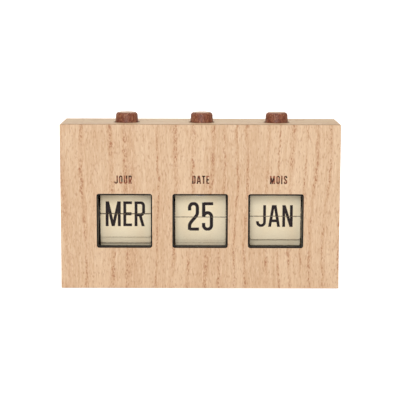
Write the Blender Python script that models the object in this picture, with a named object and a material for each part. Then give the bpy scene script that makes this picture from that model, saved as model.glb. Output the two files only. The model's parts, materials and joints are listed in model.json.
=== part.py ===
"""Flip desk calendar: a wooden case with three push-button leaf modules (day, date, month).

Metres, +Z up. The front faces -Y, the case stands on Z = 0 and is centred on X = 0 and Y = 0.
In each module a button pushes a plunger down, the plunger turns a drive arm about the axle, and
the arm's pawl turns the ratchet and drum by one leaf, so that the top leaf falls forward.
Angles of leaves and teeth are measured at the axle, from level in front (-Y) upwards.
"""
import bmesh
import bpy
from math import atan2, cos, floor, pi, radians, sin, tan
from mathutils import Matrix, Vector

# ---- case ---------------------------------------------------------------------------------
CASE_WIDTH = 0.2000
CASE_DEPTH = 0.0500
CASE_HEIGHT = 0.1185
BOARD = 0.0050                # top, bottom and side boards
FRONT_BOARD = 0.0040
BACK_BOARD = 0.0040
EASED_EDGE = 0.0004           # small bevel on every outer edge of the boards
SEAT_GAP = 0.0003             # between pieces that rest on each other
JOIN_LAP = 0.0005             # how far shapes that make up one piece run into each other

# ---- windows ------------------------------------------------------------------------------
WINDOW_HEIGHT = 0.0395
WINDOW_BOTTOM = 0.0294
WINDOW_CORNER = 0.0018
BEZEL_GAP = 0.0002            # bezel to the wood, all round
BEZEL_WALL = 0.00085          # side walls
BEZEL_BAR = 0.0010            # top and bottom walls
BEZEL_FLANGE = 0.0015
BEZEL_OVERLAP_X = 0.00615     # how far the flange covers the back of the front board
BEZEL_OVERLAP_Z = 0.0042
BEZEL_SPACING = 0.0019        # between the flanges of neighbouring bezels
SKIRT_DEPTH = 0.0044          # side walls behind the flange
SKIRT_WALL = 0.0006
SKIRT_TOP = 0.0600
LEAF_ROOM_DEPTH = 0.0008      # the rim is cut back by this behind the top bar
LEAF_ROOM_ABOVE = 0.0010      # and opens this far above the window

# ---- leaves and drum ----------------------------------------------------------------------
AXLE_HEIGHT = 0.0501
AXLE_RADIUS = 0.0015
HINGE_CIRCLE = 0.0100         # radius of the leaves' hinges about the axle
LEAF_WIDTH = 0.0368
LEAF_LENGTH = 0.0169
LEAF_THICKNESS = 0.00016
LEAF_CORNER = 0.0013
LEAF_OFFSET = 0.0003          # the leaves sit a little to the right in their window
LEAF_SIDE_ROOM = 0.0003       # least room between a leaf and the bezel's side wall
SPLIT_GAP = 0.0003            # between the upper and the lower leaf
EAR_LENGTH = 0.0011
EAR_HEIGHT = 0.0006
EAR_HOLE = 0.0008             # from the middle of an ear hole to its corners
LEAF_PLAY = 0.0003            # leaf to drum flange
FLANGE_THICKNESS = 0.0012
FLANGE_RIM = 0.0013           # drum flange beyond the hinge circle
DRUM_BEHIND_SKIRT = 0.0010
DRUM_SEGMENTS = 20
HUB_RADIUS = 0.0035
RUNNING_GAP = 0.0001          # pieces that turn on the axle
PACK_BAND = 0.0020            # width of the band that holds the hidden leaves together
PACK_BAND_INSIDE = 0.0004
PACK_BAND_OUTSIDE = 0.00012
PACK_BAND_STEPS = 16          # least number of straight stretches in the band

# ---- ratchet drive ------------------------------------------------------------------------
RATCHET_RADIUS = 0.0088
RATCHET_ROOT = 0.0080
RATCHET_WIDTH = 0.0016
SIDE_GAP = 0.0004             # between drum, ratchet, arm and cheek along the axle
DETENT_ANGLE = radians(93.0)  # a steep tooth face stands here
PAWL_ANGLE = radians(200.0)   # the pawl pushes the tooth face nearest to this
PAWL_REACH = radians(32.0)
PAWL_CIRCLE = 0.0126
PAWL_BOSS = 0.0017
PAWL_BOSS_STEPS = 8
PAWL_NOSE = 0.0012            # height of the pawl's pushing face above the teeth
PAWL_HEEL = 0.75              # share of a tooth that the pawl covers
PAWL_PIN = 0.0009
PIN_GAP = 0.0002
PIN_SEGMENTS = 12
TOOTH_GAP = 0.00025
ARM_WIDTH = 0.0016
ARM_HUB = 0.0032
ARM_HALF_HEIGHT = 0.0012
ARM_LOBE = 0.0022
ARM_BEHIND_BEZEL = 0.0010     # least room between the longest arm and the bezel's flange
DETENT_THICKNESS = 0.0005
DETENT_CHAMFER = 0.0003
DETENT_TOP_Y = 0.0115         # behind the axle

# ---- button and plunger -------------------------------------------------------------------
BUTTON_OFFSET = 0.0010        # the buttons stand a little to the right of their windows
BUTTON_BEHIND_FRONT = 0.0220
BUTTON_RADIUS = 0.0084
BUTTON_TAPER = 0.0006         # the top is this much narrower
BUTTON_PROUD = 0.0072
BUTTON_ROUNDING = 0.0014
BUTTON_ROUNDING_STEPS = 3
BUTTON_FLANGE = 0.0016        # ring under the top board that keeps the button in
BUTTON_RING = 0.0012          # how far the ring reaches under the board
BUTTON_SEGMENTS = 20
BUTTON_HOLE_GAP = 0.0008
BUTTON_HOLE_SEGMENTS = 32
STEM_RADIUS = 0.0022
STEM_IN_BUTTON = 0.0040
FOOT_HALF_WIDTH = 0.0010
FOOT_GAP = 0.00035
BLADE_INSET = 0.0001          # the blade is this much narrower than the arm on each side
CROSSBAR = 0.0040
SPRING_LENGTH = 0.0135
SPRING_RADIUS = 0.0042
SPRING_WIRE = 0.00045
SPRING_TURNS = 5
SPRING_STEPS = 10             # rings of corners in one turn of the wire
SPRING_CORNERS = 4

# ---- chassis ------------------------------------------------------------------------------
CHEEK = 0.0016
BRIDGE = 0.0040
AXLE_END = 0.0006             # how far the axle stands out of each cheek
CHASSIS_BOTTOM = 0.0170
CHASSIS_BACK = 0.0140         # behind the middle of the case
TIE_BAR = 0.0035
TIE_BAR_HALF_DEPTH = 0.0060
TAB_WIDTH = 0.0200
TAB_HEIGHT = 0.0200
TAB_BEHIND_FRONT = 0.0012     # the tab's back face behind the front of the cheeks
CATCH_WIDTH = 0.0060
CATCH_THICKNESS = 0.0003
CATCH_OVERLAP = 0.0014        # how far the catch reaches down in front of the top leaf

# ---- screws -------------------------------------------------------------------------------
SCREW_RADIUS = 0.0010
SCREW_HEAD = 0.0022
SCREW_HEAD_HEIGHT = 0.0012
SCREW_LENGTH = 0.0090
SCREW_HOLE_GAP = 0.0003
SCREW_INSET_Z = 0.0120
SCREW_SEGMENTS = 12
SMALL_SCREW_RADIUS = 0.0008
SMALL_SCREW_LENGTH = 0.0040
SMALL_PILOT_DEPTH = 0.0026

# ---- derived places -----------------------------------------------------------------------
FRONT = -CASE_DEPTH / 2
BACK = CASE_DEPTH / 2
FRONT_BOARD_BACK = FRONT + FRONT_BOARD
BUTTON_Y = FRONT + BUTTON_BEHIND_FRONT
BUTTON_TOP_RADIUS = BUTTON_RADIUS - BUTTON_TAPER
LID_UNDERSIDE = CASE_HEIGHT - BOARD
WINDOW_WIDTH = LEAF_WIDTH + 2 * (LEAF_OFFSET + LEAF_SIDE_ROOM + BEZEL_WALL + BEZEL_GAP)
WINDOW_TOP = WINDOW_BOTTOM + WINDOW_HEIGHT
MODULE_PITCH = WINDOW_WIDTH + 2 * BEZEL_OVERLAP_X + BEZEL_SPACING

# name, middle on X, number of leaves, angle of the top leaf's hinge, length of the drive arm
MODULES = (
    ("day", -MODULE_PITCH, 14, radians(25.9), 0.0090),
    ("date", 0.0, 31, radians(5.8), 0.0145),
    ("month", MODULE_PITCH, 12, radians(18.9), 0.0080),
)
LONGEST_ARM = max(arm_length for *_, arm_length in MODULES)

BEZEL_FRONT_Y = FRONT
BEZEL_SEAT_Y = FRONT_BOARD_BACK + SEAT_GAP
BEZEL_BACK_Y = BEZEL_SEAT_Y + BEZEL_FLANGE
CHASSIS_FRONT_Y = BEZEL_BACK_Y + SEAT_GAP
FLANGE_RADIUS = HINGE_CIRCLE + FLANGE_RIM
DRUM_ROOM = SKIRT_DEPTH + DRUM_BEHIND_SKIRT + FLANGE_RADIUS
ARM_ROOM = LONGEST_ARM + ARM_HALF_HEIGHT + ARM_BEHIND_BEZEL
AXLE_Y = BEZEL_BACK_Y + max(DRUM_ROOM, ARM_ROOM)
FLANGE_INSIDE_X = LEAF_WIDTH / 2 + LEAF_PLAY
FLANGE_OUTSIDE_X = FLANGE_INSIDE_X + FLANGE_THICKNESS
RATCHET_X = FLANGE_OUTSIDE_X + 1.5 * SIDE_GAP
ARM_X = RATCHET_X + RATCHET_WIDTH + SIDE_GAP
RIGHT_CHEEK_X = ARM_X + ARM_WIDTH + SIDE_GAP
LEFT_CHEEK_X = -FLANGE_OUTSIDE_X - SIDE_GAP - CHEEK
BUTTON_BOTTOM = LID_UNDERSIDE - SEAT_GAP - BUTTON_FLANGE
SPRING_SEAT = BUTTON_BOTTOM - SEAT_GAP - SPRING_LENGTH
BRIDGE_TOP = SPRING_SEAT - SEAT_GAP
BRIDGE_UNDERSIDE = BRIDGE_TOP - BRIDGE
CROSSBAR_TOP = BRIDGE_UNDERSIDE - SEAT_GAP
SCREW_X = CASE_WIDTH / 2 - BOARD / 2
CHASSIS_SCREW_Z = BRIDGE_UNDERSIDE - TAB_HEIGHT / 2
STEM_FROM_LEAVES = BUTTON_OFFSET - LEAF_OFFSET


# ---- shape helpers ------------------------------------------------------------------------
def make_material(name, colour, roughness, metallic=0.0):
    """A Principled material."""
    material = bpy.data.materials.new(name)
    material.use_nodes = True
    shader = material.node_tree.nodes["Principled BSDF"]
    shader.inputs["Base Color"].default_value = (*colour, 1.0)
    shader.inputs["Roughness"].default_value = roughness
    shader.inputs["Metallic"].default_value = metallic
    return material


def add_object(name, mesh_data, material, origin=(0, 0, 0), smooth=False):
    """Turn a bmesh in world coordinates into an object whose origin is at the given point."""
    bmesh.ops.recalc_face_normals(mesh_data, faces=mesh_data.faces)
    bmesh.ops.translate(mesh_data, verts=mesh_data.verts, vec=-Vector(origin))
    mesh = bpy.data.meshes.new(name)
    mesh_data.to_mesh(mesh)
    mesh_data.free()
    mesh.materials.append(material)
    if smooth:
        mesh.shade_smooth()
        mesh.set_sharp_from_angle(angle=radians(35))
    piece = bpy.data.objects.new(name, mesh)
    piece.location = origin
    bpy.context.scene.collection.objects.link(piece)
    return piece


def guide(name, mesh_data):
    """A shape that is only used by a Boolean of another piece."""
    shape = add_object(name, mesh_data, GUIDE_MATERIAL)
    shape.hide_render = True
    shape.display_type = "WIRE"
    return shape


def combine(piece, shape, operation):
    """Add or cut a guide shape with an exact Boolean."""
    boolean = piece.modifiers.new(shape.name, "BOOLEAN")
    boolean.operation = operation
    boolean.solver = "EXACT"
    boolean.object = shape


def cut(piece, name, mesh_data):
    combine(piece, guide(f"{piece.name}_{name}", mesh_data), "DIFFERENCE")


def add(piece, name, mesh_data):
    combine(piece, guide(f"{piece.name}_{name}", mesh_data), "UNION")


def prism(outline, axis, low, high):
    """Extrude a closed outline along an axis. The outline holds the other two coordinates."""
    mesh_data = bmesh.new()
    if axis == "X":
        points = [(low, a, b) for a, b in outline]
        step = Vector((high - low, 0, 0))
    elif axis == "Y":
        points = [(a, low, b) for a, b in outline]
        step = Vector((0, high - low, 0))
    else:
        points = [(a, b, low) for a, b in outline]
        step = Vector((0, 0, high - low))
    face = mesh_data.faces.new([mesh_data.verts.new(point) for point in points])
    extruded = bmesh.ops.extrude_face_region(mesh_data, geom=[face])
    moved = [item for item in extruded["geom"] if isinstance(item, bmesh.types.BMVert)]
    bmesh.ops.translate(mesh_data, verts=moved, vec=step)
    return mesh_data


def block(low, high):
    """A box between two corners."""
    outline = [(low[0], low[1]), (high[0], low[1]), (high[0], high[1]), (low[0], high[1])]
    return prism(outline, "Z", low[2], high[2])


def lathe(profile, centre, axis, segments):
    """Turn a profile of (radius, distance along the axis) about an axis through the centre."""
    mesh_data = bmesh.new()
    along = {"X": Vector((1, 0, 0)), "Y": Vector((0, 1, 0)), "Z": Vector((0, 0, 1))}[axis]
    out = Vector((0, 0, 1)) if axis != "Z" else Vector((1, 0, 0))
    ring = [mesh_data.verts.new(Vector(centre) + out * radius + along * place) for radius, place in profile]
    edges = [mesh_data.edges.new((a, b)) for a, b in zip(ring, ring[1:])]
    if min(profile[0][0], profile[-1][0]) > 0:
        edges.append(mesh_data.edges.new((ring[-1], ring[0])))
    bmesh.ops.spin(mesh_data, geom=ring + edges, cent=centre, axis=along, angle=2 * pi, steps=segments)
    bmesh.ops.remove_doubles(mesh_data, verts=mesh_data.verts, dist=0.000002)
    return mesh_data


def rod(radius, low, high, centre, axis, segments=16):
    """A plain round rod from low to high along the axis, measured from the centre."""
    return lathe([(0, low), (radius, low), (radius, high), (0, high)], centre, axis, segments)


def rounded_rectangle(low, high, radius, steps=3):
    """Outline of a rectangle with round corners."""
    corners = ((high[0] - radius, high[1] - radius, 0.0), (low[0] + radius, high[1] - radius, 0.5),
               (low[0] + radius, low[1] + radius, 1.0), (high[0] - radius, low[1] + radius, 1.5))
    outline = []
    for a, b, turn in corners:
        for step in range(steps + 1):
            angle = pi * (turn + 0.5 * step / steps)
            outline.append((a + radius * cos(angle), b + radius * sin(angle)))
    return outline


def polar(radius, angle):
    """(Y, Z) at a radius from the axle, at an angle measured from level in front upwards."""
    return AXLE_Y - radius * cos(angle), AXLE_HEIGHT + radius * sin(angle)


def capsule(start, end, start_radius, end_radius, steps=6):
    """Outline of a link in the YZ plane with a round boss at each end."""
    heading = atan2(end[1] - start[1], end[0] - start[0])
    outline = []
    for centre, radius, first in ((end, end_radius, -0.5), (start, start_radius, 0.5)):
        for step in range(steps + 1):
            angle = heading + pi * (first + step / steps)
            outline.append((centre[0] + radius * cos(angle), centre[1] + radius * sin(angle)))
    return outline


# ---- leaves -------------------------------------------------------------------------------
def step_angle(leaves):
    """The drum's turn for one leaf."""
    return 2 * pi / leaves


def leaf_tail(leaves, top_angle):
    """Hinge to the near edge, so that the top and the front leaf meet with the split gap."""
    between = HINGE_CIRCLE * (sin(top_angle) - sin(top_angle - step_angle(leaves)))
    return (between - SPLIT_GAP) / 2


def leaf_outline(tail):
    """Front view of a leaf that stands on its hinge: a plate with an ear on each side."""
    side = LEAF_WIDTH / 2
    top = LEAF_LENGTH - tail
    ear = EAR_HEIGHT / 2
    right = [(side, -tail), (side, -ear), (side + EAR_LENGTH, -ear), (side + EAR_LENGTH, ear), (side, ear)]
    corner = rounded_rectangle((-side, top - 3 * LEAF_CORNER), (side, top), LEAF_CORNER)[:4]
    half = right + corner
    return half + [(-x, z) for x, z in reversed(half)]


def make_leaf(name, middle, tail, angle, hanging):
    """A leaf whose origin is on its hinge; a hanging leaf is turned over."""
    mesh_data = prism(leaf_outline(tail), "Y", -LEAF_THICKNESS / 2, LEAF_THICKNESS / 2)
    leaf = add_object(name, mesh_data, LEAF_MATERIAL)
    leaf.location = (middle, *polar(HINGE_CIRCLE, angle))
    leaf.rotation_euler.x = pi if hanging else 0.0


def make_leaf_pack(name, middle, leaves, top_angle, tail):
    """The leaves that are not on show: a fan over the back of the drum that ends hanging down."""
    turn = step_angle(leaves)
    mesh_data = bmesh.new()
    side = LEAF_WIDTH / 2
    for number in range(1, leaves - 1):
        angle = top_angle + number * turn
        lean = min(number * turn, pi)
        plate = bmesh.ops.create_cube(mesh_data, size=1.0)["verts"]
        bmesh.ops.scale(mesh_data, verts=plate, vec=(2 * side, LEAF_THICKNESS, LEAF_LENGTH))
        bmesh.ops.translate(mesh_data, verts=plate, vec=(0, 0, LEAF_LENGTH / 2 - tail))
        y, z = polar(HINGE_CIRCLE, angle)
        place = Matrix.Translation((middle, y, z)) @ Matrix.Rotation(-lean, 4, "X")
        bmesh.ops.transform(mesh_data, verts=plate, matrix=place)
    pack = add_object(name, mesh_data, LEAF_MATERIAL, (middle, AXLE_Y, AXLE_HEIGHT))
    first = top_angle + turn
    last = top_angle + (leaves - 2) * turn
    steps = leaves - 3
    while steps < PACK_BAND_STEPS:
        steps *= 2
    angles = [first + (last - first) * step / steps for step in range(steps + 1)]
    outside = [polar(HINGE_CIRCLE + PACK_BAND_OUTSIDE, angle) for angle in angles]
    inside = [polar(HINGE_CIRCLE - PACK_BAND_INSIDE, angle) for angle in reversed(angles)]
    add(pack, "band", prism(outside + inside, "X", middle - PACK_BAND / 2, middle + PACK_BAND / 2))


# ---- drum and drive -----------------------------------------------------------------------
def make_drum(name, middle, leaves, top_angle):
    """A hub with two flanges, which hold the ears of the leaves."""
    bore = AXLE_RADIUS + RUNNING_GAP
    end = FLANGE_OUTSIDE_X + SIDE_GAP / 2
    profile = [(bore, -FLANGE_OUTSIDE_X), (FLANGE_RADIUS, -FLANGE_OUTSIDE_X),
               (FLANGE_RADIUS, -FLANGE_INSIDE_X), (HUB_RADIUS, -FLANGE_INSIDE_X),
               (HUB_RADIUS, FLANGE_INSIDE_X), (FLANGE_RADIUS, FLANGE_INSIDE_X),
               (FLANGE_RADIUS, FLANGE_OUTSIDE_X), (HUB_RADIUS, FLANGE_OUTSIDE_X),
               (HUB_RADIUS, end), (bore, end)]
    centre = (middle, AXLE_Y, AXLE_HEIGHT)
    turned = lathe(profile, centre, "X", DRUM_SEGMENTS)
    drum = add_object(name, turned, BLACK_MATERIAL, centre, smooth=True)
    holes = bmesh.new()
    for number in range(leaves):
        y, z = polar(HINGE_CIRCLE, top_angle + number * step_angle(leaves))
        place = Matrix.Translation((middle, y, z)) @ Matrix.Rotation(pi / 2, 4, "Y")
        bmesh.ops.create_cone(holes, cap_ends=True, segments=4, radius1=EAR_HOLE, radius2=EAR_HOLE,
                              depth=3 * FLANGE_OUTSIDE_X, matrix=place)
    cut(drum, "ear_holes", holes)


def tooth_face(leaves, near):
    """The angle of the steep tooth face nearest to the given angle."""
    turn = step_angle(leaves)
    return DETENT_ANGLE + turn * floor((near - DETENT_ANGLE) / turn + 0.5)


def make_ratchet(name, middle, leaves):
    """A wheel with one saw tooth for each leaf."""
    outline = []
    for number in range(leaves):
        angle = DETENT_ANGLE - number * step_angle(leaves)
        outline.append(polar(RATCHET_ROOT, angle))
        outline.append(polar(RATCHET_RADIUS, angle))
    low = middle + RATCHET_X
    ratchet = add_object(name, prism(outline, "X", low, low + RATCHET_WIDTH), BRASS_MATERIAL,
                         (middle, AXLE_Y, AXLE_HEIGHT))
    bore = rod(AXLE_RADIUS + RUNNING_GAP, -RATCHET_WIDTH, 2 * RATCHET_WIDTH, (low, AXLE_Y, AXLE_HEIGHT), "X")
    cut(ratchet, "bore", bore)


def arm_travel(leaves, arm_length):
    """The button's travel that turns the arm by one leaf, half above level and half below."""
    return 2 * arm_length * tan(step_angle(leaves) / 2)


def pawl_places(leaves):
    """The tooth face that the pawl pushes, and the centre of its pivot."""
    face = tooth_face(leaves, PAWL_ANGLE)
    return face, polar(PAWL_CIRCLE, face + PAWL_REACH)


def make_drive_arm(name, middle, leaves, arm_length):
    """A crank on the axle: its front end is pushed down, its back end carries the pawl."""
    low = middle + ARM_X
    high = low + ARM_WIDTH
    axle = (AXLE_Y, AXLE_HEIGHT)
    tip = polar(arm_length, step_angle(leaves) / 2)
    _, pivot = pawl_places(leaves)
    bar = capsule(axle, tip, ARM_HALF_HEIGHT, ARM_HALF_HEIGHT)
    arm = add_object(name, prism(bar, "X", low, high), STEEL_MATERIAL, (middle, *axle))
    add(arm, "lobe", prism(capsule(axle, pivot, ARM_HUB, ARM_LOBE), "X", low, high))
    across = (-ARM_WIDTH, 2 * ARM_WIDTH)
    cut(arm, "bore", rod(AXLE_RADIUS + RUNNING_GAP, *across, (low, *axle), "X"))
    cut(arm, "pin_hole", rod(PAWL_PIN + PIN_GAP, *across, (low, *pivot), "X", PIN_SEGMENTS))


def make_pawl(name, middle, leaves):
    """A nose that pushes one tooth, with a pin that turns in the drive arm."""
    face, pivot = pawl_places(leaves)
    push = face + TOOTH_GAP / RATCHET_ROOT
    heel = face + PAWL_HEEL * step_angle(leaves)
    outline = [polar(RATCHET_RADIUS + PAWL_NOSE, push), polar(RATCHET_ROOT + PIN_GAP, push),
               polar(RATCHET_RADIUS + PIN_GAP, heel)]
    inward = atan2(AXLE_HEIGHT - pivot[1], AXLE_Y - pivot[0])
    for step in range(PAWL_BOSS_STEPS + 1):
        angle = inward + pi * step / PAWL_BOSS_STEPS
        outline.append((pivot[0] + PAWL_BOSS * cos(angle), pivot[1] + PAWL_BOSS * sin(angle)))
    low = middle + RATCHET_X + PIN_GAP
    high = middle + RATCHET_X + RATCHET_WIDTH
    pawl = add_object(name, prism(outline, "X", low, high), BRASS_MATERIAL, (middle, *pivot))
    pin_end = middle + ARM_X + ARM_WIDTH
    add(pawl, "pin", rod(PAWL_PIN, low + PIN_GAP, pin_end, (0, *pivot), "X", PIN_SEGMENTS))


def make_detent_spring(name, middle, leaves):
    """A strip from the bridge whose end stands behind a steep tooth face."""
    tip = DETENT_ANGLE + TOOTH_GAP / RATCHET_ROOT
    root = RATCHET_ROOT + PIN_GAP
    reach = DETENT_THICKNESS / RATCHET_ROOT
    top_y = AXLE_Y + DETENT_TOP_Y
    outline = [polar(root, tip), polar(root + DETENT_CHAMFER, tip + reach),
               (top_y + DETENT_THICKNESS, CROSSBAR_TOP), (top_y, CROSSBAR_TOP)]
    low = middle + RATCHET_X + PIN_GAP
    high = middle + RATCHET_X + RATCHET_WIDTH - PIN_GAP
    add_object(name, prism(outline, "X", low, high), STEEL_MATERIAL)


# ---- button, plunger and spring -----------------------------------------------------------
def make_button(name, middle):
    """A turned wooden cap with a ring that keeps it under the top board."""
    centre = (middle + BUTTON_OFFSET, BUTTON_Y, 0)
    ring = BUTTON_RADIUS + BUTTON_HOLE_GAP + BUTTON_RING
    socket = STEM_RADIUS + PIN_GAP
    top = CASE_HEIGHT + BUTTON_PROUD
    profile = [(0, BUTTON_BOTTOM + STEM_IN_BUTTON), (socket, BUTTON_BOTTOM + STEM_IN_BUTTON),
               (socket, BUTTON_BOTTOM), (ring, BUTTON_BOTTOM), (ring, BUTTON_BOTTOM + BUTTON_FLANGE),
               (BUTTON_RADIUS, BUTTON_BOTTOM + BUTTON_FLANGE)]
    for step in range(BUTTON_ROUNDING_STEPS + 1):
        angle = pi / 2 * step / BUTTON_ROUNDING_STEPS
        profile.append((BUTTON_TOP_RADIUS - BUTTON_ROUNDING * (1 - cos(angle)),
                        top - BUTTON_ROUNDING * (1 - sin(angle))))
    profile.append((0, top))
    button = lathe(profile, centre, "Z", BUTTON_SEGMENTS)
    add_object(name, button, BUTTON_MATERIAL, (centre[0], centre[1], CASE_HEIGHT), smooth=True)


def foot_bottom(leaves, arm_length):
    """Height of the plunger's foot above the drive arm's upper edge."""
    half = step_angle(leaves) / 2
    edge = arm_length * tan(half) + ARM_HALF_HEIGHT / cos(half)
    return AXLE_HEIGHT + edge + FOOT_GAP + FOOT_HALF_WIDTH * tan(half)


def make_plunger(name, middle, leaves, arm_length):
    """A stem below the button, with a crossbar to a blade that stands over the drive arm."""
    stem_x = middle + STEM_FROM_LEAVES
    bar_low = CROSSBAR_TOP - CROSSBAR
    stem_top = BUTTON_BOTTOM + STEM_IN_BUTTON - SEAT_GAP
    blade_x = middle + ARM_X + BLADE_INSET
    blade_end = blade_x + ARM_WIDTH - 2 * BLADE_INSET
    foot_y = AXLE_Y - arm_length
    side = STEM_RADIUS
    crossbar = block((stem_x - side, BUTTON_Y - side, bar_low), (blade_end, BUTTON_Y + side, CROSSBAR_TOP))
    plunger = add_object(name, crossbar, BLACK_MATERIAL, (stem_x, BUTTON_Y, CROSSBAR_TOP))
    add(plunger, "stem", rod(side, CROSSBAR_TOP - CROSSBAR / 2, stem_top, (stem_x, BUTTON_Y, 0), "Z"))
    reach = [(foot_y - FOOT_HALF_WIDTH, foot_bottom(leaves, arm_length)),
             (foot_y + FOOT_HALF_WIDTH, foot_bottom(leaves, arm_length)),
             (foot_y + FOOT_HALF_WIDTH, bar_low + JOIN_LAP), (BUTTON_Y, bar_low + JOIN_LAP),
             (BUTTON_Y, CROSSBAR_TOP - JOIN_LAP), (foot_y - FOOT_HALF_WIDTH, CROSSBAR_TOP - JOIN_LAP)]
    add(plunger, "blade", prism(reach, "X", blade_x, blade_end))


def make_return_spring(name, middle):
    """A coil between the bridge and the button, with flat wire ends."""
    mesh_data = bmesh.new()
    steps = SPRING_STEPS * SPRING_TURNS
    rise = SPRING_LENGTH - 2 * SPRING_WIRE
    rings = []
    for step in range(steps + 1):
        angle = 2 * pi * step / SPRING_STEPS
        out = Vector((cos(angle), sin(angle), 0))
        base = Vector((middle + BUTTON_OFFSET, BUTTON_Y, SPRING_SEAT + SPRING_WIRE + rise * step / steps))
        ring = []
        for corner in range(SPRING_CORNERS):
            turn = 2 * pi * corner / SPRING_CORNERS
            offset = out * (SPRING_RADIUS + SPRING_WIRE * cos(turn)) + Vector((0, 0, SPRING_WIRE * sin(turn)))
            ring.append(mesh_data.verts.new(base + offset))
        rings.append(ring)
    for low, high in zip(rings, rings[1:]):
        for a in range(SPRING_CORNERS):
            b = (a + 1) % SPRING_CORNERS
            mesh_data.faces.new((low[a], low[b], high[b], high[a]))
    mesh_data.faces.new(rings[0])
    mesh_data.faces.new(rings[-1])
    add_object(name, mesh_data, STEEL_MATERIAL, smooth=True)


# ---- frame of a module --------------------------------------------------------------------
def make_bezel(name, middle):
    """The thin surround in the window: a rim, a flange behind the board and two shallow side walls."""
    half = WINDOW_WIDTH / 2 - BEZEL_GAP
    low = WINDOW_BOTTOM + BEZEL_GAP
    high = WINDOW_TOP - BEZEL_GAP
    corner = WINDOW_CORNER - BEZEL_GAP
    inner = half - BEZEL_WALL
    flange_half = WINDOW_WIDTH / 2 + BEZEL_OVERLAP_X
    rim = rounded_rectangle((middle - half, low), (middle + half, high), corner)
    bezel = add_object(name, prism(rim, "Y", BEZEL_FRONT_Y, BEZEL_BACK_Y - JOIN_LAP), BEZEL_MATERIAL)
    add(bezel, "flange", block((middle - flange_half, BEZEL_SEAT_Y, WINDOW_BOTTOM - BEZEL_OVERLAP_Z),
                               (middle + flange_half, BEZEL_BACK_Y, WINDOW_TOP + BEZEL_OVERLAP_Z)))
    for side, x in (("left", middle - inner - SKIRT_WALL), ("right", middle + inner - JOIN_LAP)):
        add(bezel, f"{side}_skirt", block((x, BEZEL_BACK_Y - 0.8 * JOIN_LAP, low + WINDOW_CORNER),
                                          (x + SKIRT_WALL + JOIN_LAP, BEZEL_BACK_Y + SKIRT_DEPTH, SKIRT_TOP)))
    opening = rounded_rectangle((middle - inner, low + BEZEL_BAR), (middle + inner, high - BEZEL_BAR),
                                corner - BEZEL_WALL)
    cut(bezel, "opening", prism(opening, "Y", FRONT - BOARD, BEZEL_BACK_Y + SKIRT_DEPTH + BOARD))
    room_low = (middle - inner, FRONT_BOARD_BACK - LEAF_ROOM_DEPTH, SKIRT_TOP - 2 * JOIN_LAP)
    room_high = (middle + inner, BEZEL_BACK_Y + BOARD, WINDOW_TOP + LEAF_ROOM_ABOVE)
    cut(bezel, "leaf_room", block(room_low, room_high))


def make_chassis(name, middle):
    """Two cheeks on the axle, joined by a bridge at the top, a tie bar below and a front tab."""
    left = middle + LEFT_CHEEK_X
    right = middle + RIGHT_CHEEK_X
    bridge = block((left, CHASSIS_FRONT_Y, BRIDGE_UNDERSIDE), (right + CHEEK, CHASSIS_BACK, BRIDGE_TOP))
    chassis = add_object(name, bridge, CHASSIS_MATERIAL)
    for side, x in (("left", left), ("right", right)):
        corner_low = (x, CHASSIS_FRONT_Y, CHASSIS_BOTTOM)
        corner_high = (x + CHEEK, CHASSIS_BACK, BRIDGE_UNDERSIDE + 2 * JOIN_LAP)
        add(chassis, f"{side}_cheek", block(corner_low, corner_high))
    bar_low = (left + JOIN_LAP, AXLE_Y - TIE_BAR_HALF_DEPTH, CHASSIS_BOTTOM + JOIN_LAP)
    bar_high = (right + CHEEK - JOIN_LAP, AXLE_Y + TIE_BAR_HALF_DEPTH, CHASSIS_BOTTOM + TIE_BAR)
    add(chassis, "tie_bar", block(bar_low, bar_high))
    tab_low = (middle - TAB_WIDTH / 2, BEZEL_SEAT_Y, BRIDGE_UNDERSIDE - TAB_HEIGHT)
    tab_high = (middle + TAB_WIDTH / 2, CHASSIS_FRONT_Y + TAB_BEHIND_FRONT, BRIDGE_TOP - JOIN_LAP)
    add(chassis, "tab", block(tab_low, tab_high))
    hole = STEM_RADIUS + PIN_GAP
    centre = (middle + STEM_FROM_LEAVES, BUTTON_Y, 0)
    cut(chassis, "stem_hole", rod(hole, BRIDGE_UNDERSIDE - BRIDGE, BRIDGE_TOP + BRIDGE, centre, "Z"))
    across = (LEFT_CHEEK_X - CHEEK, RIGHT_CHEEK_X + 2 * CHEEK)
    cut(chassis, "axle_holes", rod(AXLE_RADIUS + RUNNING_GAP, *across, (middle, AXLE_Y, AXLE_HEIGHT), "X"))
    cut(chassis, "screw_hole", rod(SMALL_SCREW_RADIUS + SCREW_HOLE_GAP, -BOARD, BOARD,
                                   (middle, CHASSIS_FRONT_Y, CHASSIS_SCREW_Z), "Y", SCREW_SEGMENTS))


def make_leaf_catch(name, middle, leaves, top_angle, tail):
    """A springy strip below the bridge that holds the top leaf's upper edge."""
    hinge_y, hinge_z = polar(HINGE_CIRCLE, top_angle)
    back = hinge_y - LEAF_THICKNESS / 2 - SEAT_GAP
    tip = hinge_z + LEAF_LENGTH - tail - CATCH_OVERLAP
    add_object(name, block((middle - CATCH_WIDTH / 2, back - CATCH_THICKNESS, tip),
                           (middle + CATCH_WIDTH / 2, back, CROSSBAR_TOP)), STEEL_MATERIAL)


def make_axle(name, middle):
    low = LEFT_CHEEK_X - AXLE_END
    high = RIGHT_CHEEK_X + CHEEK + AXLE_END
    centre = (middle, AXLE_Y, AXLE_HEIGHT)
    add_object(name, rod(AXLE_RADIUS, low, high, centre, "X"), STEEL_MATERIAL, centre, smooth=True)


def make_screw(name, tip, radius, length, head_radius):
    """A pan-head screw that points along -Y, from its head at the back to its tip."""
    profile = [(0, 0), (radius * 0.6, 0), (radius, radius), (radius, length), (head_radius, length),
               (head_radius, length + 0.6 * SCREW_HEAD_HEIGHT),
               (0.75 * head_radius, length + SCREW_HEAD_HEIGHT), (0, length + SCREW_HEAD_HEIGHT)]
    add_object(name, lathe(profile, tip, "Y", SCREW_SEGMENTS), STEEL_MATERIAL, tip, smooth=True)


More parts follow.
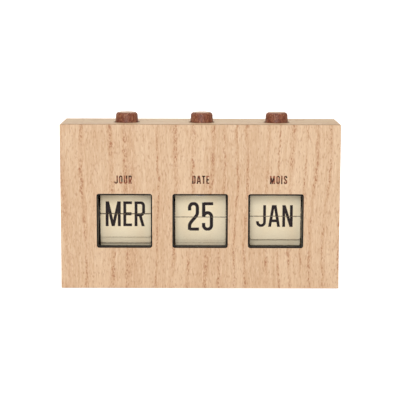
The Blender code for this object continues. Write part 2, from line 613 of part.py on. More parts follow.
def make_module(name, window_middle, leaves, top_angle, arm_length):
    middle = window_middle + LEAF_OFFSET
    tail = leaf_tail(leaves, top_angle)
    make_bezel(f"{name}_bezel", window_middle)
    make_chassis(f"{name}_chassis", middle)
    screw_tip = CHASSIS_FRONT_Y + TAB_BEHIND_FRONT + SEAT_GAP - SMALL_SCREW_LENGTH
    make_screw(f"{name}_chassis_screw", (middle, screw_tip, CHASSIS_SCREW_Z), SMALL_SCREW_RADIUS,
               SMALL_SCREW_LENGTH, 2 * SMALL_SCREW_RADIUS)
    make_axle(f"{name}_axle", middle)
    make_drum(f"{name}_drum", middle, leaves, top_angle)
    make_ratchet(f"{name}_ratchet", middle, leaves)
    make_leaf(f"{name}_top_leaf", middle, tail, top_angle, hanging=False)
    make_leaf(f"{name}_front_leaf", middle, tail, top_angle - step_angle(leaves), hanging=True)
    make_leaf_pack(f"{name}_leaf_pack", middle, leaves, top_angle, tail)
    make_button(f"{name}_button", window_middle)
    make_plunger(f"{name}_plunger", middle, leaves, arm_length)
    make_return_spring(f"{name}_return_spring", window_middle)
    make_drive_arm(f"{name}_drive_arm", middle, leaves, arm_length)
    make_pawl(f"{name}_pawl", middle, leaves)
    make_detent_spring(f"{name}_detent_spring", middle, leaves)
    make_leaf_catch(f"{name}_leaf_catch", middle, leaves, top_angle, tail)


# ---- case ---------------------------------------------------------------------------------
def make_board(name, low, high):
    """A board with slightly eased edges."""
    board = add_object(name, block(low, high), WOOD_MATERIAL)
    bevel = board.modifiers.new("eased_edges", "BEVEL")
    bevel.width = EASED_EDGE
    bevel.segments = 1
    return board


def back_screw_places():
    return [(x, z) for z in (SCREW_INSET_Z, LID_UNDERSIDE - SCREW_INSET_Z) for x in (-SCREW_X, SCREW_X)]


def make_case():
    half = CASE_WIDTH / 2
    side_top = LID_UNDERSIDE - SEAT_GAP
    front_seat = FRONT_BOARD_BACK + SEAT_GAP
    back_seat = BACK - BACK_BOARD
    front = make_board("front_panel", (-half, FRONT, 0), (half, FRONT_BOARD_BACK, CASE_HEIGHT))
    top = make_board("top_panel", (-half, front_seat, LID_UNDERSIDE), (half, BACK, CASE_HEIGHT))
    inner = half - BOARD - SEAT_GAP
    make_board("bottom_panel", (-inner, front_seat, 0), (inner, back_seat - SEAT_GAP, BOARD))
    sides = [make_board("left_panel", (-half, front_seat, 0), (BOARD - half, back_seat - SEAT_GAP, side_top)),
             make_board("right_panel", (half - BOARD, front_seat, 0), (half, back_seat - SEAT_GAP, side_top))]
    back = make_board("back_panel", (-half, back_seat, 0), (half, BACK, side_top))
    for name, middle, *_ in MODULES:
        window = rounded_rectangle((middle - WINDOW_WIDTH / 2, WINDOW_BOTTOM),
                                   (middle + WINDOW_WIDTH / 2, WINDOW_TOP), WINDOW_CORNER)
        cut(front, f"{name}_window", prism(window, "Y", FRONT - BOARD, FRONT_BOARD_BACK + BOARD))
        pilot = rod(SMALL_SCREW_RADIUS + PIN_GAP, -SMALL_PILOT_DEPTH, BOARD,
                    (middle + LEAF_OFFSET, FRONT_BOARD_BACK, CHASSIS_SCREW_Z), "Y", SCREW_SEGMENTS)
        cut(front, f"{name}_pilot", pilot)
        hole = rod(BUTTON_RADIUS + BUTTON_HOLE_GAP, -BOARD, 2 * BOARD,
                   (middle + BUTTON_OFFSET, BUTTON_Y, LID_UNDERSIDE), "Z", BUTTON_HOLE_SEGMENTS)
        cut(top, f"{name}_hole", hole)
    head_floor = BACK - SCREW_HEAD_HEIGHT - SEAT_GAP
    for number, (x, z) in enumerate(back_screw_places()):
        side = sides[number % 2]
        hole = SCREW_RADIUS + SCREW_HOLE_GAP
        seat = SCREW_HEAD + SCREW_HOLE_GAP
        floor_place = (x, head_floor - SEAT_GAP, z)
        cut(back, f"screw_hole_{number}", rod(hole, -BOARD, BOARD, (x, BACK, z), "Y", SCREW_SEGMENTS))
        cut(back, f"screw_seat_{number}", rod(seat, 0, BOARD, floor_place, "Y", SCREW_SEGMENTS))
        cut(side, f"pilot_{number}", rod(hole, -SCREW_LENGTH, BOARD, (x, back_seat, z), "Y", SCREW_SEGMENTS))
        make_screw(f"back_screw_{number + 1}", (x, head_floor - SCREW_LENGTH, z), SCREW_RADIUS,
                   SCREW_LENGTH, SCREW_HEAD)


for old in list(bpy.data.objects):
    bpy.data.objects.remove(old)

WOOD_MATERIAL = make_material("case_wood", (0.76, 0.54, 0.35), 0.6)
BUTTON_MATERIAL = make_material("button_wood", (0.30, 0.11, 0.06), 0.45)
BEZEL_MATERIAL = make_material("black_bezel", (0.02, 0.02, 0.02), 0.35)
CHASSIS_MATERIAL = make_material("black_chassis", (0.03, 0.03, 0.03), 0.5)
BLACK_MATERIAL = make_material("black_moulding", (0.04, 0.04, 0.045), 0.45)
LEAF_MATERIAL = make_material("cream_leaf", (0.82, 0.70, 0.48), 0.5)
BRASS_MATERIAL = make_material("ratchet_brass", (0.72, 0.50, 0.20), 0.35, 1.0)
STEEL_MATERIAL = make_material("bright_steel", (0.62, 0.62, 0.64), 0.3, 1.0)
GUIDE_MATERIAL = make_material("guide", (0.2, 0.4, 0.8), 0.5)

make_case()
for module in MODULES:
    make_module(*module)
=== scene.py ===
"""Looks of a wooden flip calendar with three button-driven leaf windows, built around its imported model.

Metres, +Z up, front towards -Y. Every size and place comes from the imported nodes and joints, or is a
named allowance from them.
"""

import json
from contextlib import contextmanager
from math import atan2, cos, pi, radians, sin

import bmesh
import bpy
from mathutils import Matrix, Vector


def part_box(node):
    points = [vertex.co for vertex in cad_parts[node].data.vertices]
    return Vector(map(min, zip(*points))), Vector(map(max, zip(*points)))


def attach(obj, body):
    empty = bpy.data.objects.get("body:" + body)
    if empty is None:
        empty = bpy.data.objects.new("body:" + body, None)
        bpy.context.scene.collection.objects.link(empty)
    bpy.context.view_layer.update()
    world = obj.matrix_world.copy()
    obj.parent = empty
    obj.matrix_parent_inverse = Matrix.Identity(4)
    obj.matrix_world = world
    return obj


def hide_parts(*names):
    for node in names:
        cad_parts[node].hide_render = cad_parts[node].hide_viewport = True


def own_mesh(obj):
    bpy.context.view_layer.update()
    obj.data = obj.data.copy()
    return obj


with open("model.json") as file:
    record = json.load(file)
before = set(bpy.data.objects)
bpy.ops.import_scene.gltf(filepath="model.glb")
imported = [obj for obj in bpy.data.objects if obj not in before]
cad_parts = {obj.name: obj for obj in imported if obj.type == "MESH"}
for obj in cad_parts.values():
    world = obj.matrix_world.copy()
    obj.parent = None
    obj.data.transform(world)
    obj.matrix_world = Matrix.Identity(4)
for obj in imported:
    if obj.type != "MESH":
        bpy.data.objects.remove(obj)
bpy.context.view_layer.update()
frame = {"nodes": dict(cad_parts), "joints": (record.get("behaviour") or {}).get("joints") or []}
JOINTS = {joint["name"]: joint for joint in frame["joints"]}

# ---- case ---------------------------------------------------------------------------------
EASED_EDGE = 0.0004
GLUE_LINE = 0.00024           # boards grow by this towards a neighbour, up to a hairline joint
HOLE_CHAMFER = 0.00025
RING_UNDER_LID = 0.0012       # how far a button's ring reaches under the lid
BUTTON_GAP = 0.0008           # button to its hole
RING_HEIGHT = 0.0016
CUT_PAST = 0.01               # how far a cutter runs past what it cuts
TINY = 0.00001                # how far off two places may be and still count as one

BACK_SCREWS = [f"back_screw_{number}" for number in range(1, 5)]
SCREW_HEAD_HEIGHT = 0.0012
SCREW_SHANK = {"back": 0.0010, "chassis": 0.0008}
SCREW_HOLE = 0.0013
SCREW_POINT = ((0.86, 1.0), (0.12, 0.3), (0.02, 0.1))   # length and width, as shares of the shank's
CROSS = (0.62, 0.14)          # arm and width of the recess, as shares of the head's radius

BUTTON_TAPER = ((0.0002, 0), (0.0010, 0.00018), (0.0024, 0.00036))   # above the lid, and how far in
BUTTON_CROWN = 0.0006         # how far in the side ends at the top
BUTTON_ROUND = 0.0022
SOCKET_RADIUS = 0.0024
SOCKET_DEPTH = 0.004

SPRING_WIRE = 0.00045
SPRING_TURNS = 5
SPRING_STEPS = 28
SPRING_CORNERS = 10

# ---- windows ------------------------------------------------------------------------------
FLANGE_COVER_X = 0.00635      # from the bezel's rim to the end of its flange
FLANGE_COVER_Z = 0.0044
FLANGE_FRONT = 0.0043         # behind the rim's front edge
FLANGE_THICKNESS = 0.0015
RIM_CORNER = 0.0016
RIM_WALL = 0.00085
RIM_BAR = 0.0010
SKIRT_WALL = 0.0006
RIM_GAP = 0.00005             # rim to wood
LEAF_ROOM_FRONT = 0.0032
SKIRT_TOP = 0.0099            # below the rim's upper edge
SKIRT_FOOT = 0.0018           # above the rim's lower edge
SKIRT_LAP = 0.0002            # how far the skirt reaches into the rim and the flange
RIM_END = 0.0005              # the rim ends this far inside the flange
BEZEL_ROUNDING = 0.00012

# ---- leaves -------------------------------------------------------------------------------
LEAF_HALF_THICKNESS = 0.00008
LEAF_CORNER = 0.0013
LEAF_ROUNDING = 0.00003
EAR_LENGTH = 0.0011
EAR_HALF_HEIGHT = 0.0003
INK_THICKNESS = 0.00002
LETTER_GAP = 0.105            # between letters, as a share of their height
INK_MARGIN = 0.00006          # print stops this short of a leaf's edge

WEEK = "MER JEU VEN SAM DIM LUN MAR".split()
DATES = [str((24 + step) % 31 + 1) for step in range(31)]
YEAR = "JAN FEV MAR AVR MAI JUN JUL AOU SEP OCT NOV DEC".split()

# name: number of leaves, words from the one on show, foot and height of the letters, stroke, middle
MODULES = {
    "day": (14, WEEK, 0.04326, 0.01803, 0.116, -0.0543),
    "date": (31, DATES, 0.0401, 0.0209, 0.114, 0.0003),
    "month": (12, YEAR, 0.04297, 0.0159, 0.128, 0.0540),
}
# label: text, middle, length
LABELS = (("JOUR", -0.0551, 0.0127), ("DATE", 0.0003, 0.01215), ("MOIS", 0.05595, 0.0124))
LABEL_FOOT = 0.0761
LABEL_HEIGHT = 0.0059
LABEL_STROKE = 0.165
LABEL_DEPTH = 0.00025

# letter: width as a share of its height
WIDTHS = {
    "A": 0.54, "C": 0.42, "D": 0.43, "E": 0.348, "F": 0.34, "I": 0.13, "J": 0.45, "L": 0.34, "M": 0.607,
    "N": 0.475, "O": 0.43, "P": 0.41, "R": 0.42, "S": 0.42, "T": 0.40, "U": 0.44, "V": 0.52, "1": 0.30,
}
DIGIT_WIDTH = 0.385
OVERRUN = 0.008               # strokes run past the foot and cap lines by this, and are trimmed there


# ---- ways of working ----------------------------------------------------------------------
def select_only(*pieces):
    bpy.ops.object.select_all(action="DESELECT")
    for piece in pieces:
        piece.select_set(True)
    bpy.context.view_layer.objects.active = pieces[-1]


@contextmanager
def edit(piece, mode="FACE"):
    """Edit mode on one piece, with nothing selected at the start."""
    select_only(piece)
    bpy.ops.object.mode_set(mode="EDIT")
    bpy.ops.mesh.select_mode(type=mode)
    bpy.ops.mesh.select_all(action="DESELECT")
    yield
    bpy.ops.object.mode_set(mode="OBJECT")


def pick(kind, rule):
    """In edit mode, select the faces, edges or verts that fit the rule, and nothing else."""
    bpy.ops.mesh.select_all(action="DESELECT")
    mesh = bmesh.from_edit_mesh(bpy.context.edit_object.data)
    mesh.normal_update()
    for item in getattr(mesh, kind):
        if rule(item):
            item.select_set(True)
    bmesh.update_edit_mesh(bpy.context.edit_object.data)


def extrude(*step):
    bpy.ops.mesh.extrude_region_move(TRANSFORM_OT_translate={"value": step})


def bevel(width, steps):
    bpy.ops.mesh.bevel(offset=width, segments=steps, affect="EDGES")


def facing(*direction):
    """Rule for faces that look along a direction."""
    along = Vector(direction)
    return lambda face: face.normal.dot(along) > 0.99


def name_new(name):
    """Name the piece that an operator has just added, with its place put in its mesh."""
    bpy.ops.object.transform_apply(location=True, rotation=True, scale=True)
    piece = bpy.context.active_object
    piece.name = name
    piece.data.name = name
    return piece


def add_object(name, data):
    piece = bpy.data.objects.new(name, data)
    bpy.context.scene.collection.objects.link(piece)
    return piece


def cube(name, low, high):
    low, high = Vector(low), Vector(high)
    bpy.ops.object.select_all(action="DESELECT")
    bpy.ops.mesh.primitive_cube_add(size=1, location=(low + high) / 2, scale=high - low)
    return name_new(name)


def cylinder(name, centre, radius, depth, axis="Z", corners=48):
    turn = {"X": (0, pi / 2, 0), "Y": (pi / 2, 0, 0), "Z": (0, 0, 0)}[axis]
    bpy.ops.object.select_all(action="DESELECT")
    bpy.ops.mesh.primitive_cylinder_add(vertices=corners, radius=radius, depth=depth, location=centre,
                                        rotation=turn)
    return name_new(name)


def rounded_block(name, low, high, radius, axis, steps=8):
    """A block whose four edges along the axis are round."""
    piece = cube(name, low, high)
    along = "XYZ".index(axis)
    with edit(piece, "EDGE"):
        pick("edges", lambda edge: abs((edge.verts[0].co - edge.verts[1].co).normalized()[along]) > 0.99)
        bevel(radius, steps)
    return piece


def paint(piece, *materials):
    """Give a piece these materials and no others."""
    piece.data.materials.clear()
    for material in materials:
        piece.data.materials.append(material)


def join(pieces):
    """Make one piece of several."""
    select_only(*pieces)
    if len(pieces) > 1:
        bpy.ops.object.join()
    return bpy.context.active_object


def combine(piece, other, operation="DIFFERENCE", material=None):
    """Cut another shape out of the piece, or add it, and remove the other shape.

    The material is for the faces that the other shape leaves.
    """
    if material is not None:
        paint(other, material)
    boolean = piece.modifiers.new("combine", "BOOLEAN")
    boolean.operation = operation
    boolean.solver = "EXACT"
    boolean.material_mode = "TRANSFER"
    boolean.object = other
    select_only(piece)
    bpy.ops.object.modifier_apply(modifier=boolean.name)
    bpy.data.objects.remove(other)


def round_edges(piece, width, steps=2, angle=40):
    """A small round on every edge that is sharper than the angle."""
    rounding = piece.modifiers.new("rounding", "BEVEL")
    rounding.width = width
    rounding.segments = steps
    rounding.limit_method = "ANGLE"
    rounding.angle_limit = radians(angle)
    select_only(piece)
    bpy.ops.object.modifier_apply(modifier=rounding.name)


def shade(piece, angle=32):
    """Smooth shading that keeps flat faces flat."""
    select_only(piece)
    bpy.ops.object.shade_smooth_by_angle(angle=radians(angle))
    weighted = piece.modifiers.new("flat_faces", "WEIGHTED_NORMAL")
    weighted.keep_sharp = True
    bpy.ops.object.modifier_apply(modifier=weighted.name)


def finish(piece, material, body, slot, *nodes):
    """Give a finished piece its material and body, and hide the nodes that it stands for; its slot is not
    used.
    """
    if material is not None:
        paint(piece, material)
    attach(piece, body)
    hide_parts(*nodes)


# ---- node helpers -------------------------------------------------------------------------
def rgb(red, green, blue):
    """Scene colour of a display colour given as 0 to 255."""
    shares = [value / 255 for value in (red, green, blue)]
    return (*[s / 12.92 if s <= 0.04045 else ((s + 0.055) / 1.055) ** 2.4 for s in shares], 1.0)


def feed(tree, sockets, values):
    """Link another socket to each named socket, or set its value."""
    for key, value in values.items():
        if isinstance(value, bpy.types.NodeSocket):
            tree.links.new(value, sockets[key])
        else:
            sockets[key].default_value = value


def place(tree, kind, inputs=None, **settings):
    """Add a node; inputs maps a socket's name or number to a value or to another socket."""
    new = tree.nodes.new(kind)
    for key, value in settings.items():
        setattr(new, key, value)
    feed(tree, new.inputs, inputs or {})
    return new


def calc(tree, operation, first, second=0.0, third=0.0):
    inputs = {0: first, 1: second, 2: third}
    return place(tree, "ShaderNodeMath", inputs, operation=operation).outputs[0]


def rise(tree, value, low, high, start=0.0, end=1.0):
    """A smooth step from start to end as the value goes from low to high."""
    inputs = {"Value": value, "From Min": low, "From Max": high, "To Min": start, "To Max": end}
    return place(tree, "ShaderNodeMapRange", inputs, interpolation_type="SMOOTHSTEP").outputs["Result"]


def mix(tree, factor, first, second, way="MIX"):
    inputs = {0: factor, 6: first, 7: second}
    return place(tree, "ShaderNodeMix", inputs, data_type="RGBA", blend_type=way).outputs[2]


def stretched(tree, vector, scale, location=(0, 0, 0), rotation=(0, 0, 0)):
    inputs = {"Vector": vector, "Location": location, "Rotation": rotation, "Scale": scale}
    return place(tree, "ShaderNodeMapping", inputs).outputs["Vector"]


def noise(tree, vector, detail=2.0, roughness=0.5):
    inputs = {"Vector": vector, "Scale": 1.0, "Detail": detail, "Roughness": roughness}
    return place(tree, "ShaderNodeTexNoise", inputs).outputs["Fac"]


def new_group(name, wanted, given):
    """A shader node group. wanted maps an input's name to its value, or to None for a vector."""
    tree = bpy.data.node_groups.new(name, "ShaderNodeTree")
    for label, value in wanted.items():
        kind = "NodeSocketVector" if value is None else "NodeSocketFloat"
        socket = tree.interface.new_socket(label, in_out="INPUT", socket_type=kind)
        if value is not None:
            socket.default_value = value
    for label in given:
        tree.interface.new_socket(label, in_out="OUTPUT", socket_type="NodeSocketFloat")
    return tree, tree.nodes.new("NodeGroupInput").outputs, tree.nodes.new("NodeGroupOutput").inputs


def use_group(tree, group, inputs):
    """Place a node group and return its outputs."""
    return place(tree, "ShaderNodeGroup", inputs, node_tree=group).outputs


# ---- shared effects -----------------------------------------------------------------------
def make_figure_group():
    """Straight-grained open-pored timber with its grain along Z and its rings across X."""
    tree, given, out = new_group("timber_figure", {"Vector": None, "Pores": 1.0},
                                 ("Band", "Fibre", "Ring", "Pore", "Height"))
    spot = given["Vector"]
    parts = place(tree, "ShaderNodeSeparateXYZ", {0: spot}).outputs
    # the rings wander slowly and shiver quickly on their way up
    slow = noise(tree, stretched(tree, spot, (16, 16, 9)), 1.0)
    quick = noise(tree, stretched(tree, spot, (60, 60, 190)), 1.0)
    across = calc(tree, "MULTIPLY_ADD", calc(tree, "SUBTRACT", slow, 0.5), 0.016, parts["X"])
    across = calc(tree, "MULTIPLY_ADD", calc(tree, "SUBTRACT", quick, 0.5), 0.0026, across)
    line = {"X": across, "Y": parts["Y"], "Z": parts["Z"]}
    line = place(tree, "ShaderNodeCombineXYZ", line).outputs[0]
    spacing = noise(tree, stretched(tree, line, (45, 0, 0)), 1.0)
    denser = calc(tree, "MULTIPLY_ADD", across, 190.0, 84.0)
    count = calc(tree, "MULTIPLY_ADD", spacing, 2.2, calc(tree, "MULTIPLY", across, denser))
    ring = calc(tree, "PINGPONG", count, 0.5)
    core = rise(tree, ring, 0.36, 0.475)
    broken = noise(tree, stretched(tree, line, (150, 40, 45)), 1.0)
    core = calc(tree, "MULTIPLY", core, rise(tree, broken, 0.36, 0.56, 0.25, 1.0))
    # dashes crowd on the rings and are few between them
    dashes = rise(tree, noise(tree, stretched(tree, spot, (1250, 1250, 480)), 2.0, 0.6), 0.44, 0.62)
    strays = rise(tree, noise(tree, stretched(tree, spot, (1050, 1050, 330), (7, 3, 1)), 1.0), 0.55, 0.72)
    strays = calc(tree, "MULTIPLY", strays, 0.42)
    pores = calc(tree, "MAXIMUM", calc(tree, "MULTIPLY", dashes, core), strays)
    pores = calc(tree, "MULTIPLY", pores, given["Pores"])
    fine = noise(tree, stretched(tree, spot, (1500, 1500, 190)), 2.0, 0.65)
    streak = noise(tree, stretched(tree, line, (560, 560, 22)), 3.0, 0.65)
    fibre = calc(tree, "MULTIPLY_ADD", streak, 0.40, calc(tree, "MULTIPLY", fine, 0.60))
    band = noise(tree, stretched(tree, line, (75, 20, 6)), 2.0)
    height = calc(tree, "MULTIPLY_ADD", pores, -1.0, calc(tree, "MULTIPLY", fibre, 0.35))
    soft_ring = calc(tree, "MULTIPLY", rise(tree, ring, 0.30, 0.47),
                     rise(tree, broken, 0.3, 0.6, 0.5, 1.0))
    feed(tree, out, {"Band": band, "Fibre": fibre, "Ring": soft_ring, "Pore": pores, "Height": height})
    return tree


# this edge mask carries edge colour on wood and metal, a painted highlight on plastic and painted shadow
# lines on the leaves
def make_edge_mask_group():
    """Edges of a piece, a little broken up, from how far a rounded normal leans off the true one."""
    tree, given, out = new_group("edge_wear", {"Vector": None, "Radius": 0.0005, "Breakup": 900.0},
                                 ("Edge",))
    soft = place(tree, "ShaderNodeBevel", {"Radius": given["Radius"]}, samples=6).outputs[0]
    true = place(tree, "ShaderNodeNewGeometry").outputs["True Normal"]
    lean = place(tree, "ShaderNodeVectorMath", {0: soft, 1: true}, operation="DOT_PRODUCT").outputs["Value"]
    edge = rise(tree, lean, 0.995, 0.86)
    spots = place(tree, "ShaderNodeTexNoise", {"Vector": given["Vector"], "Scale": given["Breakup"],
                                               "Detail": 2.0}).outputs["Fac"]
    feed(tree, out, {"Edge": calc(tree, "MULTIPLY", edge, rise(tree, spots, 0.3, 0.6))})
    return tree


def make_dust_group():
    """Fine dust that settles on faces that look up."""
    tree, given, out = new_group("fine_dust", {"Vector": None, "Amount": 0.2}, ("Dust",))
    normal = place(tree, "ShaderNodeNewGeometry").outputs["Normal"]
    up = place(tree, "ShaderNodeSeparateXYZ", {0: normal}).outputs["Z"]
    specks = noise(tree, stretched(tree, given["Vector"], (5200, 5200, 5200)), 2.0)
    clouds = noise(tree, stretched(tree, given["Vector"], (90, 90, 90)), 2.0)
    dust = calc(tree, "MULTIPLY", rise(tree, specks, 0.46, 0.7), rise(tree, clouds, 0.35, 0.65))
    dust = calc(tree, "MULTIPLY", calc(tree, "MULTIPLY", dust, rise(tree, up, 0.3, 0.9)), given["Amount"])
    feed(tree, out, {"Dust": dust})
    return tree


def make_skin_group():
    """The fine even grain of a moulded plastic skin."""
    tree, given, out = new_group("moulded_skin", {"Vector": None, "Size": 4200.0}, ("Height", "Tone"))
    cells = place(tree, "ShaderNodeTexVoronoi", {"Vector": given["Vector"], "Scale": given["Size"]},
                  feature="SMOOTH_F1").outputs["Distance"]
    tone = noise(tree, stretched(tree, given["Vector"], (160, 160, 160)), 3.0)
    feed(tree, out, {"Height": cells, "Tone": tone})
    return tree


def make_brushed_group():
    """Long fine scratches along X with a cloudy tarnish."""
    tree, given, out = new_group("brushed_metal", {"Vector": None}, ("Scratch", "Cloud"))
    scratch = noise(tree, stretched(tree, given["Vector"], (120, 6500, 6500)), 3.0, 0.7)
    cloud = noise(tree, stretched(tree, given["Vector"], (240, 240, 240)), 3.0)
    feed(tree, out, {"Scratch": scratch, "Cloud": cloud})
    return tree


FIGURE = make_figure_group()
EDGE_MASK = make_edge_mask_group()
DUST = make_dust_group()
SKIN = make_skin_group()
BRUSHED = make_brushed_group()


# ---- materials ----------------------------------------------------------------------------
def new_material(name, turn=(0, 0, 0), shift=(0, 0, 0)):
    """A material with its shader, its coordinates, and the object's own ones turned and shifted."""
    material = bpy.data.materials.new(name)
    material.use_nodes = True
    tree = material.node_tree
    shader = tree.nodes["Principled BSDF"]
    spot = place(tree, "ShaderNodeTexCoord").outputs
    return material, tree, shader, spot, stretched(tree, spot["Object"], (1, 1, 1), shift, turn)


def wire(tree, shader, **inputs):
    """Link sockets to the shader, or set its values. Underscores stand for spaces."""
    feed(tree, shader.inputs, {key.replace("_", " "): value for key, value in inputs.items()})


def bump(tree, height, distance, strength=1.0):
    inputs = {"Height": height, "Distance": distance, "Strength": strength}
    return place(tree, "ShaderNodeBump", inputs).outputs["Normal"]


def timber(name, turn, shift=(0, 0, 0), flat_shade=0.0, pores=1.0):
    """Pale open-pored case timber; the turn brings its grain to Z and its rings across X."""
    material, tree, shader, spot, vector = new_material(name, turn, shift)
    figure = use_group(tree, FIGURE, {"Vector": vector, "Pores": pores})
    colour = mix(tree, rise(tree, figure["Band"], 0.34, 0.66), PALE_WOOD, MEAN_WOOD)
    colour = mix(tree, calc(tree, "MULTIPLY", figure["Ring"], 0.42), colour, RING_WOOD)
    colour = mix(tree, rise(tree, figure["Fibre"], 0.50, 0.66, 0.0, 0.60), colour, STREAK_WOOD)
    colour = mix(tree, rise(tree, figure["Fibre"], 0.50, 0.36, 0.0, 0.60), colour, LIGHT_WOOD)
    colour = mix(tree, calc(tree, "MULTIPLY", figure["Pore"], 0.80), colour, PORE_WOOD)
    normal = stretched(tree, spot["Normal"], (1, 1, 1), (0, 0, 0), turn)
    along = place(tree, "ShaderNodeSeparateXYZ", {0: normal}).outputs["Z"]
    end_grain = rise(tree, calc(tree, "ABSOLUTE", along), 0.60, 0.90)
    specks = noise(tree, stretched(tree, vector, (1500, 1500, 60)), 2.0)
    end_colour = mix(tree, rise(tree, specks, 0.35, 0.65), END_WOOD, END_PORE)
    colour = mix(tree, end_grain, colour, end_colour)
    edge = use_group(tree, EDGE_MASK, {"Vector": spot["Object"], "Radius": 0.0006})["Edge"]
    colour = mix(tree, calc(tree, "MULTIPLY", edge, 0.35), colour, EDGE_WOOD)
    # painted shade: boards that lie flat are mixed by this share towards a duller, greyer tone
    colour = mix(tree, flat_shade, colour, FLAT_SHADE_WOOD)
    roughness = rise(tree, figure["Fibre"], 0.3, 0.7, 0.56, 0.68)
    wire(tree, shader, Base_Color=colour, Roughness=roughness, Specular_IOR_Level=0.35,
         Normal=bump(tree, figure["Height"], 0.00002, 0.6))
    return material


def button_timber():
    """Dark turned cap with mottled figure down its side, and a paler top: end grain plus a painted
    reflection of the bright surroundings.
    """
    material, tree, shader, spot, vector = new_material("button_timber")
    streak = noise(tree, stretched(tree, vector, (850, 850, 360)), 3.0, 0.6)
    mottle = noise(tree, stretched(tree, vector, (420, 420, 380)), 2.0)
    pores = noise(tree, stretched(tree, vector, (1600, 1600, 700)), 1.0)
    colour = mix(tree, rise(tree, mottle, 0.38, 0.62), BUTTON_DARK, BUTTON_MEAN)
    colour = mix(tree, rise(tree, streak, 0.50, 0.66, 0.0, 0.85), colour, BUTTON_PALE)
    colour = mix(tree, rise(tree, pores, 0.56, 0.66, 0.0, 0.8), colour, BUTTON_PORE)
    up = place(tree, "ShaderNodeSeparateXYZ", {0: spot["Normal"]}).outputs["Z"]
    # faces that look up are painted paler: partly end grain, partly a painted reflection of the bright
    # surroundings
    colour = mix(tree, rise(tree, up, 0.86, 0.97, 0.0, 0.8), colour, BUTTON_TOP_GRAIN_AND_REFLECTION)
    edge = use_group(tree, EDGE_MASK, {"Vector": spot["Object"], "Radius": 0.0005})["Edge"]
    colour = mix(tree, calc(tree, "MULTIPLY", edge, 0.25), colour, BUTTON_PALE)
    height = calc(tree, "MULTIPLY_ADD", rise(tree, pores, 0.60, 0.72), -1.0, streak)
    wire(tree, shader, Base_Color=colour, Roughness=rise(tree, streak, 0.3, 0.7, 0.38, 0.55),
         Normal=bump(tree, height, 0.00005, 0.6))
    return material


def plastic(name, dark, pale, roughness, edge_sheen=0.30, shine=0.5):
    """Moulded plastic with a fine skin, edges painted paler as a highlight, and a little dust."""
    material, tree, shader, _, vector = new_material(name)
    skin = use_group(tree, SKIN, {"Vector": vector})
    edge = use_group(tree, EDGE_MASK, {"Vector": vector, "Radius": 0.0003})["Edge"]
    dust = use_group(tree, DUST, {"Vector": vector, "Amount": 0.12})["Dust"]
    colour = mix(tree, rise(tree, skin["Tone"], 0.3, 0.7), dark, pale)
    # painted highlight: the edges are painted paler than the skin, as a sheen
    sheen_colour = tuple(min(1.0, 2.2 * share) for share in pale)
    colour = mix(tree, calc(tree, "MULTIPLY", edge, edge_sheen), colour, sheen_colour)
    colour = mix(tree, dust, colour, DUST_COLOUR)
    rough = rise(tree, skin["Tone"], 0.3, 0.7, roughness - 0.05, roughness + 0.06)
    rough = calc(tree, "ADD", rough, dust)
    wire(tree, shader, Base_Color=colour, Roughness=rough, Specular_IOR_Level=shine,
         Normal=bump(tree, skin["Height"], 0.00002, 0.5))
    return material


def leaf_card():
    """Cream plastic card, slightly mottled and specked in brown, with painted shadow lines along its edges.
    """
    material, tree, shader, _, vector = new_material("leaf_card")
    cloud = noise(tree, stretched(tree, vector, (70, 70, 40)), 2.0)
    speck = noise(tree, stretched(tree, vector, (3000, 3000, 3000)), 2.0)
    skin = use_group(tree, SKIN, {"Vector": vector, "Size": 7000.0})
    colour = mix(tree, rise(tree, cloud, 0.3, 0.7), CARD_PALE, CARD_MEAN)
    colour = mix(tree, rise(tree, speck, 0.56, 0.74, 0.0, 0.22), colour, CARD_SPECK_AND_EDGE_SHADE)
    # painted shadow: the card's edges are painted brown, as the thin shadow lines between the leaves
    edge = use_group(tree, EDGE_MASK, {"Vector": vector, "Radius": 0.00042})["Edge"]
    colour = mix(tree, edge, colour, CARD_SPECK_AND_EDGE_SHADE)
    wire(tree, shader, Base_Color=colour, Roughness=rise(tree, cloud, 0.3, 0.7, 0.36, 0.48),
         Specular_IOR_Level=0.4, Normal=bump(tree, skin["Height"], 0.000008, 0.5))
    return material


def ink():
    """Printed near-black ink, a little uneven."""
    material, tree, shader, _, vector = new_material("leaf_ink")
    patches = noise(tree, stretched(tree, vector, (900, 900, 900)), 3.0)
    colour = mix(tree, rise(tree, patches, 0.35, 0.7), INK_DARK, INK_PALE)
    wire(tree, shader, Base_Color=colour, Roughness=rise(tree, patches, 0.3, 0.7, 0.55, 0.7),
         Specular_IOR_Level=0.2)
    return material


def scorched():
    """Wood burnt by engraving: red-brown in places and charred in others."""
    material, tree, shader, _, vector = new_material("scorched_wood")
    char = noise(tree, stretched(tree, vector, (420, 420, 330)), 2.0)
    fibre = noise(tree, stretched(tree, vector, (2600, 2600, 300)), 2.0)
    colour = mix(tree, rise(tree, char, 0.40, 0.60), SCORCH_RED, SCORCH_DARK)
    colour = mix(tree, rise(tree, fibre, 0.5, 0.75, 0.0, 0.35), colour, SCORCH_PALE)
    wire(tree, shader, Base_Color=colour, Roughness=rise(tree, char, 0.3, 0.7, 0.7, 0.9),
         Normal=bump(tree, fibre, 0.00004, 0.6))
    return material


def metal(name, dark, pale, roughness):
    """Brushed metal with cloudy tarnish and bright edges."""
    material, tree, shader, _, vector = new_material(name)
    brushed = use_group(tree, BRUSHED, {"Vector": vector})
    edge = use_group(tree, EDGE_MASK, {"Vector": vector, "Radius": 0.0003})["Edge"]
    colour = mix(tree, rise(tree, brushed["Cloud"], 0.3, 0.7), pale, dark)
    colour = mix(tree, calc(tree, "MULTIPLY", edge, 0.5), colour, pale)
    rough = calc(tree, "ADD", rise(tree, brushed["Scratch"], 0.3, 0.7, roughness - 0.08, roughness + 0.1),
                 rise(tree, brushed["Cloud"], 0.5, 0.8, 0.0, 0.1))
    wire(tree, shader, Base_Color=colour, Roughness=rough, Metallic=1.0,
         Normal=bump(tree, brushed["Scratch"], 0.000006, 0.5))
    return material


